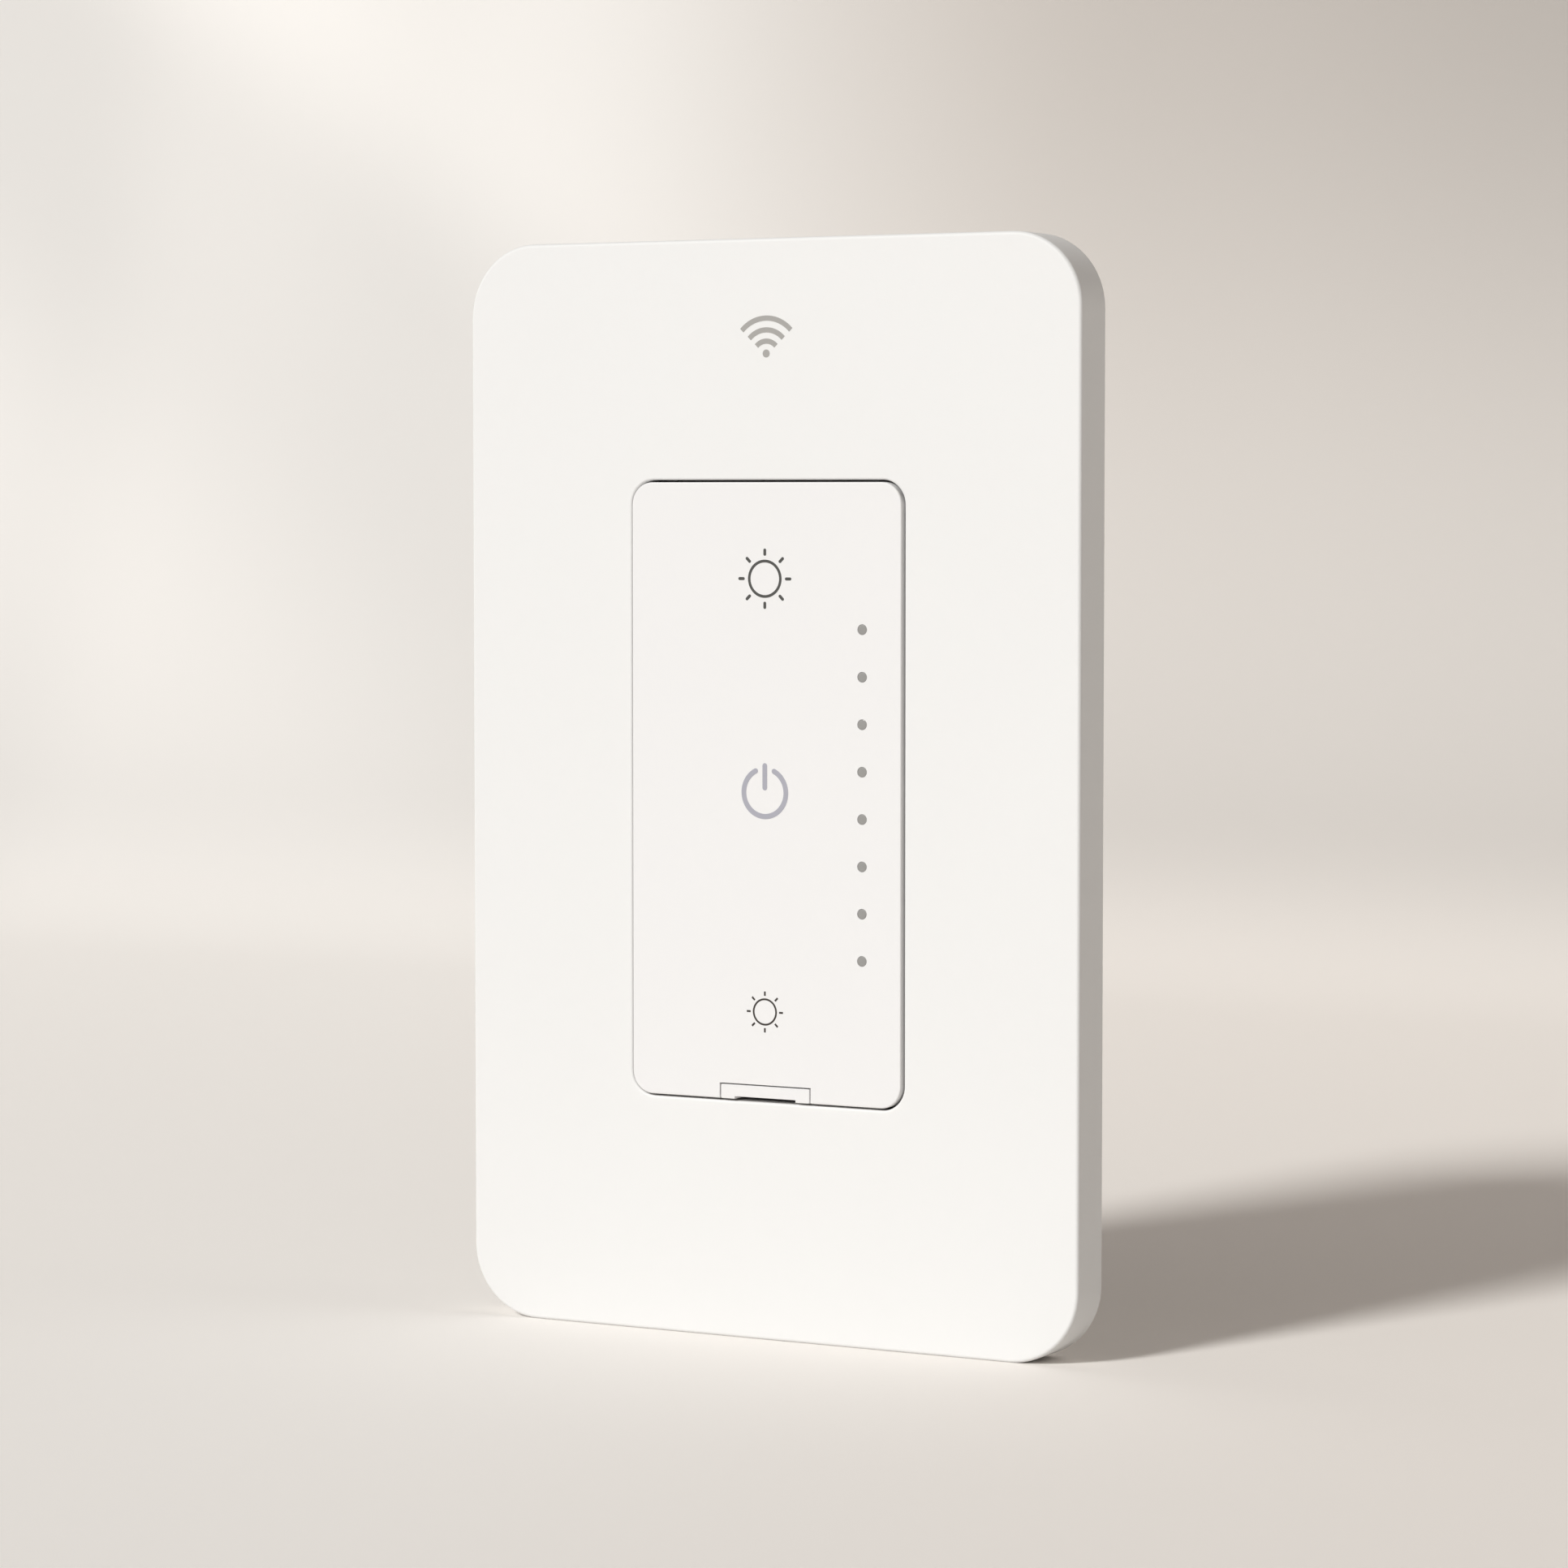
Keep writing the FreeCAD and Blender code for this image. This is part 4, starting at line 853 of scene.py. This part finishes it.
def math_node(tree, operation, first, second):
    """One sum, with each side a socket or a number."""
    return add_node(tree, "ShaderNodeMath", {0: first, 1: second}, operation=operation)[0]


def noise(tree, vector, scale, detail):
    inputs = {"Vector": vector, "Scale": scale, "Detail": detail}
    return add_node(tree, "ShaderNodeTexNoise", inputs)["Fac"]


def scaled(tree, colour, factor):
    """A colour, as a socket or three numbers, made lighter or darker."""
    inputs = {0: colour, "Scale": factor}
    return add_node(tree, "ShaderNodeVectorMath", inputs, operation="SCALE")["Vector"]


def start_group(name, values):
    """A group that takes a place and named numbers, and gives height, tone and gloss."""
    group = bpy.data.node_groups.new(name, "ShaderNodeTree")
    group.interface.new_socket("Vector", in_out="INPUT", socket_type="NodeSocketVector")
    for label, value in values.items():
        socket = group.interface.new_socket(label, in_out="INPUT", socket_type="NodeSocketFloat")
        socket.default_value = value
    for label in ("Height", "Tone", "Gloss"):
        group.interface.new_socket(label, in_out="OUTPUT", socket_type="NodeSocketFloat")
    enter, leave = group.nodes.new("NodeGroupInput"), group.nodes.new("NodeGroupOutput")
    return group, enter.outputs, leave.inputs

# %% [markdown]
# ## Moulded grain
# The grain is too fine to model, so it is bump: noise for the spark marks and cells for their
# pits. A picture of plastic would repeat. Two slower noises change tone and gloss in patches.

# %% Moulded grain
grain_detail, tone_detail, gloss_detail = 3.0, 3.0, 4.0
tone_patches, gloss_patches = 45.0, 160.0
pit_share, noise_middle = 0.5, 0.5


def make_moulded_grain():
    values = {"Grains per metre": 5000.0, "Tone change": 0.02, "Gloss change": 0.06}
    group, enter, leave = start_group("moulded_grain", values)
    vector, grain = enter["Vector"], enter["Grains per metre"]
    fine = noise(group, vector, grain, grain_detail)
    pits = add_node(group, "ShaderNodeTexVoronoi", {"Vector": vector, "Scale": grain})
    pit_depth = math_node(group, "MULTIPLY", pits["Distance"], pit_share)
    slow = noise(group, vector, tone_patches, tone_detail)
    slow = math_node(group, "SUBTRACT", slow, noise_middle)
    tone = math_node(group, "MULTIPLY", slow, enter["Tone change"])
    patch = noise(group, vector, gloss_patches, gloss_detail)
    patch = math_node(group, "SUBTRACT", patch, noise_middle)
    feed(leave["Height"], math_node(group, "ADD", fine, pit_depth))
    feed(leave["Tone"], math_node(group, "ADD", tone, 1.0))
    feed(leave["Gloss"], math_node(group, "MULTIPLY", patch, enter["Gloss change"]))
    return group


moulded_grain = make_moulded_grain()
print("group:", moulded_grain.name)

# %% [markdown]
# ## Brushed lines
# Brush lines are long in one direction, so the noise's place is squeezed along Z. With the
# squeeze near 1 it gives the even mottle of plating. One noise moves bump, tone and gloss,
# because a scratch changes all three.

# %% Brushed lines
line_detail = 4.0


def make_brushed_lines():
    values = {"Lines per metre": 4000.0, "Stretch": 0.03, "Tone change": 0.12, "Gloss change": 0.2}
    group, enter, leave = start_group("brushed_lines", values)
    ways = {"X": 1.0, "Y": 1.0, "Z": enter["Stretch"]}
    stretch = add_node(group, "ShaderNodeCombineXYZ", ways)["Vector"]
    place = {0: enter["Vector"], 1: stretch}
    squeezed = add_node(group, "ShaderNodeVectorMath", place, operation="MULTIPLY")["Vector"]
    lines = noise(group, squeezed, enter["Lines per metre"], line_detail)
    centred = math_node(group, "SUBTRACT", lines, noise_middle)
    tone = math_node(group, "MULTIPLY", centred, enter["Tone change"])
    feed(leave["Height"], lines)
    feed(leave["Tone"], math_node(group, "ADD", tone, 1.0))
    feed(leave["Gloss"], math_node(group, "MULTIPLY", centred, enter["Gloss change"]))
    return group


brushed_lines = make_brushed_lines()
print("group:", brushed_lines.name)

# %% [markdown]
# ## One recipe for a finish
# A finish is a Principled shader whose colour, roughness and bump come from one of the
# groups. The group's tone darkens or lightens the colour by a little, its gloss moves the
# roughness, and its height goes through a Bump node. What a finish doesn't set keeps the
# group's own value.

# %% One recipe for a finish
bump_strength = 0.5


def finish(name, colour, roughness, group, values, bump, metallic=0.0, coat=0.0):
    """A material whose surface detail comes from one shared group."""
    material = bpy.data.materials.new(name)
    material.use_nodes = True
    tree = material.node_tree
    shader = tree.nodes["Principled BSDF"].inputs
    place = add_node(tree, "ShaderNodeTexCoord", {})["Object"]
    inputs = {"Vector": place, **values}
    effect = add_node(tree, "ShaderNodeGroup", inputs, node_tree=group)
    relief = {"Distance": bump, "Strength": bump_strength, "Height": effect["Height"]}
    feed(shader["Metallic"], metallic)
    feed(shader["Coat Weight"], coat)
    feed(shader["Base Color"], scaled(tree, colour, effect["Tone"]))
    feed(shader["Roughness"], math_node(tree, "ADD", effect["Gloss"], roughness))
    feed(shader["Normal"], add_node(tree, "ShaderNodeBump", relief)["Normal"])
    return material


def plastic(name, colour, roughness=0.5, grain=5000.0, bump=0.01 * mm, tone=0.02, coat=0.0):
    values = {"Grains per metre": grain, "Tone change": tone}
    return finish(name, colour, roughness, moulded_grain, values, bump, coat=coat)


def metal(name, colour, roughness=0.3, lines=4000.0, stretch=0.03, bump=0.004 * mm):
    values = {"Lines per metre": lines, "Stretch": stretch}
    return finish(name, colour, roughness, brushed_lines, values, bump, metallic=1.0)


def paint(piece, material):
    piece.data.materials.clear()
    piece.data.materials.append(material)

# %% [markdown]
# ## The finishes
# Plate and panel are the same warm matt white. Behind them are a brushed strap, plated screws,
# a dark heat-proof housing and green boards. A plastic's row is its colour, roughness, grains
# per metre, bump, change of tone and clear coat. A metal's is its colour, roughness, lines per
# metre, stretch and bump. The recipe fills in the rest.

# %% The finishes
plastics = {
    "plate_white": ((0.86, 0.86, 0.855), 0.55, 6000.0, 0.006 * mm, 0.015),
    "panel_white": ((0.865, 0.86, 0.86), 0.5, 7000.0, 0.005 * mm, 0.015),
    "inner_white": ((0.80, 0.79, 0.775), 0.45),
    "baffle_white": ((0.85, 0.85, 0.84), 0.45),
    "light_window": ((0.32, 0.315, 0.305), 0.3, 3000.0, 0.001 * mm, 0.03, 0.3),
    "silicone": ((0.55, 0.55, 0.53), 0.7, 2500.0),
    "fibre": ((0.32, 0.20, 0.12), 0.8, 2500.0, 0.03 * mm, 0.25),
    "housing_dark": ((0.045, 0.045, 0.048), 0.45, 3500.0, 0.02 * mm, 0.2),
    "board_green": ((0.02, 0.11, 0.05), 0.3, 800.0, 0.02 * mm, 0.6, 0.3),
    "chip_black": ((0.02, 0.02, 0.02), 0.5, 4000.0),
    "led_white": ((0.75, 0.68, 0.4), 0.25, 2000.0),
    "pad_grey": ((0.2, 0.21, 0.23), 0.7, 2500.0),
    "film_yellow": ((0.6, 0.42, 0.05), 0.4, 1500.0),
    "sleeve_dark": ((0.03, 0.03, 0.06), 0.3, 1500.0, 0.01 * mm, 0.02, 0.3),
    "fuse_brown": ((0.12, 0.05, 0.02), 0.4, 1500.0),
    "varistor_blue": ((0.03, 0.08, 0.25), 0.35, 1500.0, 0.01 * mm, 0.02, 0.2),
    "ink_dark": ((0.07, 0.07, 0.065), 0.45, 4000.0, 0.002 * mm, 0.1),
    "ink_deep": ((0.038, 0.03, 0.025), 0.45, 4000.0, 0.002 * mm, 0.1),
    "ink_lilac": ((0.41, 0.41, 0.47), 0.45, 4000.0, 0.002 * mm, 0.05),
    "ink_grey": ((0.39, 0.38, 0.365), 0.45, 4000.0, 0.002 * mm, 0.05),
}
metals = {
    "strap_aluminium": ((0.60, 0.60, 0.61), 0.35),
    "plated_steel": ((0.60, 0.58, 0.54), 0.3, 2500.0, 0.6),
    "green_steel": ((0.05, 0.22, 0.08), 0.35, 2500.0, 0.6),
    "spring_steel": ((0.42, 0.42, 0.42), 0.35),
    "shield_tin": ((0.55, 0.55, 0.54), 0.3, 3000.0, 0.2),
    "contact_bronze": ((0.50, 0.30, 0.14), 0.35),
    "winding_copper": ((0.55, 0.22, 0.10), 0.3, 3000.0, 1.0, 0.05 * mm),
    "terminal_brass": ((0.60, 0.42, 0.16), 0.3, 2500.0, 0.5),
}
finishes = {name: plastic(name, *row) for name, row in plastics.items()}
finishes |= {name: metal(name, *row) for name, row in metals.items()}
print("finishes:", len(finishes))

# %% [markdown]
# ## Finishes for the pieces
# Each finer piece takes the finish of what it stands for, and the signs take inks: near black
# for the suns, a cool grey for the power sign, a warm one for the radio-wave sign. The CAD
# nodes keep their meshes, and take the finishes that the record names.

# %% Finishes for the pieces
inks = {
    "sign_brighter": "ink_dark",
    "sign_dimmer": "ink_deep",
    "sign_power": "ink_lilac",
    "sign_signal": "ink_grey",
}
for piece, slot in dressed:
    paint(piece, finishes[inks.get(piece.name, slot)])
node_slots = {part["node"]: part["material_slot"] for part in frame["record"]["subparts"]}
for node, piece in frame["nodes"].items():
    for slot in piece.material_slots:
        slot.material = finishes[node_slots[node]]
    if not piece.material_slots:
        piece.data.materials.append(finishes[node_slots[node]])
print("new pieces:", len(dressed), "CAD nodes:", len(frame["nodes"]))

# %% [markdown]
# ## Floor and backdrop
# The switch stands on a pale sheet of paper that runs up into a wall with no corner. One bent
# sheet does both, so that the shadow falls on it and nothing marks where the wall begins.

# %% Floor and backdrop
floor_z = cad_low.z
sheet_half_width = 3000 * mm
sheet_near, sheet_bend, bend_radius, sheet_top = -2500 * mm, 330 * mm, 330 * mm, 1500 * mm
bend_steps = 32


def backdrop_profile():
    profile = [(sheet_near, floor_z)]
    for step in range(bend_steps + 1):
        turn = math.radians(90 * step / bend_steps)
        y = sheet_bend + bend_radius * math.sin(turn)
        profile.append((y, floor_z + bend_radius * (1 - math.cos(turn))))
    profile.append((sheet_bend + bend_radius, floor_z + sheet_top))
    return profile


backdrop_mesh = bmesh.new()
rows = [
    [backdrop_mesh.verts.new((x, y, z)) for x in both(sheet_half_width)]
    for y, z in backdrop_profile()
]
for near, far in zip(rows, rows[1:]):
    backdrop_mesh.faces.new((near[0], near[1], far[1], far[0]))
backdrop_data = bpy.data.meshes.new("backdrop")
backdrop_mesh.to_mesh(backdrop_data)
backdrop_mesh.free()
backdrop_data.shade_smooth()
backdrop = add_object("backdrop", backdrop_data)
print("backdrop rises at y =", round(sheet_bend / mm), "mm")

# %% [markdown]
# ## Zones of painted shade on the paper
# Painted shade makes the paper brightest at the upper left and darkest at the upper right, with
# a darker painted band slanting across the wall. A zone is a mask from 0 to 1, made of soft ramps:
# Map Range nodes, simpler to set than a colour ramp. It depends on how far across the picture and
# how high over the floor a point of the sheet lies, in metres, so it stays put when the view
# changes.

# %% Zones of painted shade on the paper


def weighted(tree, parts, weights, offset):
    """A sum of sockets, each with its own weight."""
    total = offset
    for part, weight in zip(parts, weights):
        total = math_node(tree, "ADD", math_node(tree, "MULTIPLY", part, weight), total)
    return total


def soft_step(tree, value, low, high):
    """0 below low, 1 above high, and an even curve between."""
    inputs = {"Value": value, "From Min": low, "From Max": high}
    curve = {"interpolation_type": "SMOOTHERSTEP"}
    return add_node(tree, "ShaderNodeMapRange", inputs, **curve)["Result"]


def soft_band(tree, value, rise, fall):
    """Up from 0 to 1 over one range, and down again over another."""
    up, down = soft_step(tree, value, *rise), soft_step(tree, value, *fall)
    return math_node(tree, "SUBTRACT", up, down)


def colour_mix(tree, factor, first, second):
    """Between two colours, each a socket or four numbers."""
    inputs = {"Factor": factor, "A": first, "B": second}
    return add_node(tree, "ShaderNodeMix", inputs, data_type="RGBA")["Result"]


view_slope = math.tan(math.radians(camera_turn))
across_ramps = {"right": (-0.10, 0.12), "edge": (0.06, 0.26), "far_left": (-0.17, -0.23)}
rise_ramps = {"wall": (-0.01, 0.03), "upper": (0.0, 0.26)}
middle_rise, middle_fall = (-0.17, -0.09), (-0.03, 0.07)
shade_band_slant = 0.67
shade_band_rise, shade_band_fall = (-0.09, 0.04), (0.06, 0.14)
zone_pairs = [("right", "wall"), ("right", "upper"), ("edge", "upper"), ("middle", "upper")]


def shade_zones(tree, place):
    """The masks by name."""
    x, y, z = add_node(tree, "ShaderNodeSeparateXYZ", {"Vector": place})
    across_offset = -camera_place.x - camera_place.y * view_slope
    across = weighted(tree, (x, y), (1.0, view_slope), across_offset)
    rise = weighted(tree, (z,), (1.0,), -floor_z)
    zones = {name: soft_step(tree, across, *ends) for name, ends in across_ramps.items()}
    zones |= {name: soft_step(tree, rise, *ends) for name, ends in rise_ramps.items()}
    zones["middle"] = soft_band(tree, across, middle_rise, middle_fall)
    for one, other in zone_pairs:
        zones[one + "_" + other] = math_node(tree, "MULTIPLY", zones[one], zones[other])
    # A darker slanted band of painted shade across the left part of the wall.
    slant = weighted(tree, (rise, across), (1.0, shade_band_slant), 0.0)
    shade_band = soft_band(tree, slant, shade_band_rise, shade_band_fall)
    left_wall = math_node(tree, "SUBTRACT", zones["wall"], zones["right_wall"])
    zones["shade_band"] = math_node(tree, "MULTIPLY", shade_band, left_wall)
    return zones


print("zone ramps:", list(across_ramps) + list(rise_ramps))

# %% [markdown]
# ## Paper with painted shade
# Each zone paints a little shade into the paper's colour, and that painted shade is warmer on the
# right. A lamp for each patch would spoil the light on the switch. The camera and mirrored rays
# see the paper at full brightness with its painted shade, and the light it throws back comes from
# two darker colours, one for the floor and one for the wall, so the shaded side of the plate stays
# grey.

# %% Paper with painted shade
paper_colour, warm_shade_colour, warm_share = (1.0, 0.975, 0.945), (1.0, 0.926, 0.86), 0.45
floor_bounce, wall_bounce = (0.82, 0.79, 0.755, 1), (0.62, 0.595, 0.57, 1)
paper_seen, full_tone = 1.03, 1.035
# How much painted shade each zone takes from the paper's brightness.
zone_shades = {
    "right": -0.045,
    "wall": -0.165,
    "right_wall": -0.12,
    "right_upper": -0.19,
    "edge": -0.04,
    "edge_upper": -0.05,
    "far_left": -0.05,
    "middle_upper": -0.06,
    "shade_band": -0.12,
}


def seen_paper(colour):
    return [part * paper_seen for part in colour] + [1]


def backdrop_finish():
    material = bpy.data.materials.new("backdrop_paper")
    material.use_nodes = True
    tree = material.node_tree
    tree.nodes.remove(tree.nodes["Principled BSDF"])
    zones = shade_zones(tree, add_node(tree, "ShaderNodeTexCoord", {})["Object"])
    # The paper's tone carries the painted shade, zone by zone.
    shaded = [zones[name] for name in zone_shades]
    tone = weighted(tree, shaded, zone_shades.values(), full_tone)
    # The painted shade on the right side is also tinted warmer.
    warm_zones = (zones["right"], zones["right_upper"])
    shade_warmth = weighted(tree, warm_zones, (warm_share, warm_share), 0.0)
    colour = colour_mix(tree, shade_warmth, seen_paper(paper_colour), seen_paper(warm_shade_colour))
    bounce = colour_mix(tree, zones["upper"], floor_bounce, wall_bounce)
    sight = add_node(tree, "ShaderNodeLightPath", {})
    mirrored = math_node(tree, "ADD", sight["Is Glossy Ray"], sight["Is Transmission Ray"])
    seen = math_node(tree, "ADD", sight["Is Camera Ray"], mirrored)
    choice = colour_mix(tree, seen, bounce, scaled(tree, colour, tone))
    paper = add_node(tree, "ShaderNodeBsdfDiffuse", {"Color": choice})["BSDF"]
    feed(tree.nodes["Material Output"].inputs["Surface"], paper)
    return material


paint(backdrop, backdrop_finish())
print("paper nodes:", len(backdrop.active_material.node_tree.nodes))

# %% [markdown]
# ## Key light
# One soft key comes from the front left, above, as a window would, and throws the long
# shadow to the right. A sun lamp keeps its strength the same all over the switch, where an
# area lamp this near would fade across the plate. Its wide angle softens the shadow's edge.

# %% Key light
key_heading, key_height, key_softness = 72, 32, 12
key_strength = 0.752 * math.pi
key_colour = (1.0, 1.0, 0.985)

key_data = bpy.data.lights.new("key", "SUN")
key_data.energy = key_strength
key_data.angle = math.radians(key_softness)
key_data.color = key_colour
key = add_object("key", key_data)
heading, height = math.radians(key_heading), math.radians(key_height)
beam = Vector(
    (math.cos(heading) * math.cos(height), math.sin(heading) * math.cos(height), -math.sin(height))
)
key.rotation_mode = "QUATERNION"
key.rotation_quaternion = beam.to_track_quat("-Z", "Y")
print("key beam:", [round(part, 3) for part in beam])

# %% [markdown]
# ## Room light
# The world fills the rest, brighter at the front left than at the upper right, so that the
# plate's right side turns grey and is darkest round its upper corner. A smooth change over the
# whole sky does this with no second shadow, which a fill lamp would throw.

# %% Room light
fill_way = (-0.40, -0.85, -0.90)
fill_range = (-0.6, 0.9)
fill_dark = (0.11, 0.095, 0.086, 1)
fill_light = (0.508, 0.495, 0.487, 1)

world = bpy.data.worlds.new("room")
world.use_nodes = True
bpy.context.scene.world = world
sky = world.node_tree
way = add_node(sky, "ShaderNodeTexCoord", {})["Generated"]
ways = {0: way, 1: fill_way}
toward = add_node(sky, "ShaderNodeVectorMath", ways, operation="DOT_PRODUCT")["Value"]
share = soft_step(sky, toward, *fill_range)
feed(sky.nodes["Background"].inputs["Color"], colour_mix(sky, share, fill_dark, fill_light))
print("fill, dark to light:", fill_dark[0], "to", fill_light[0])
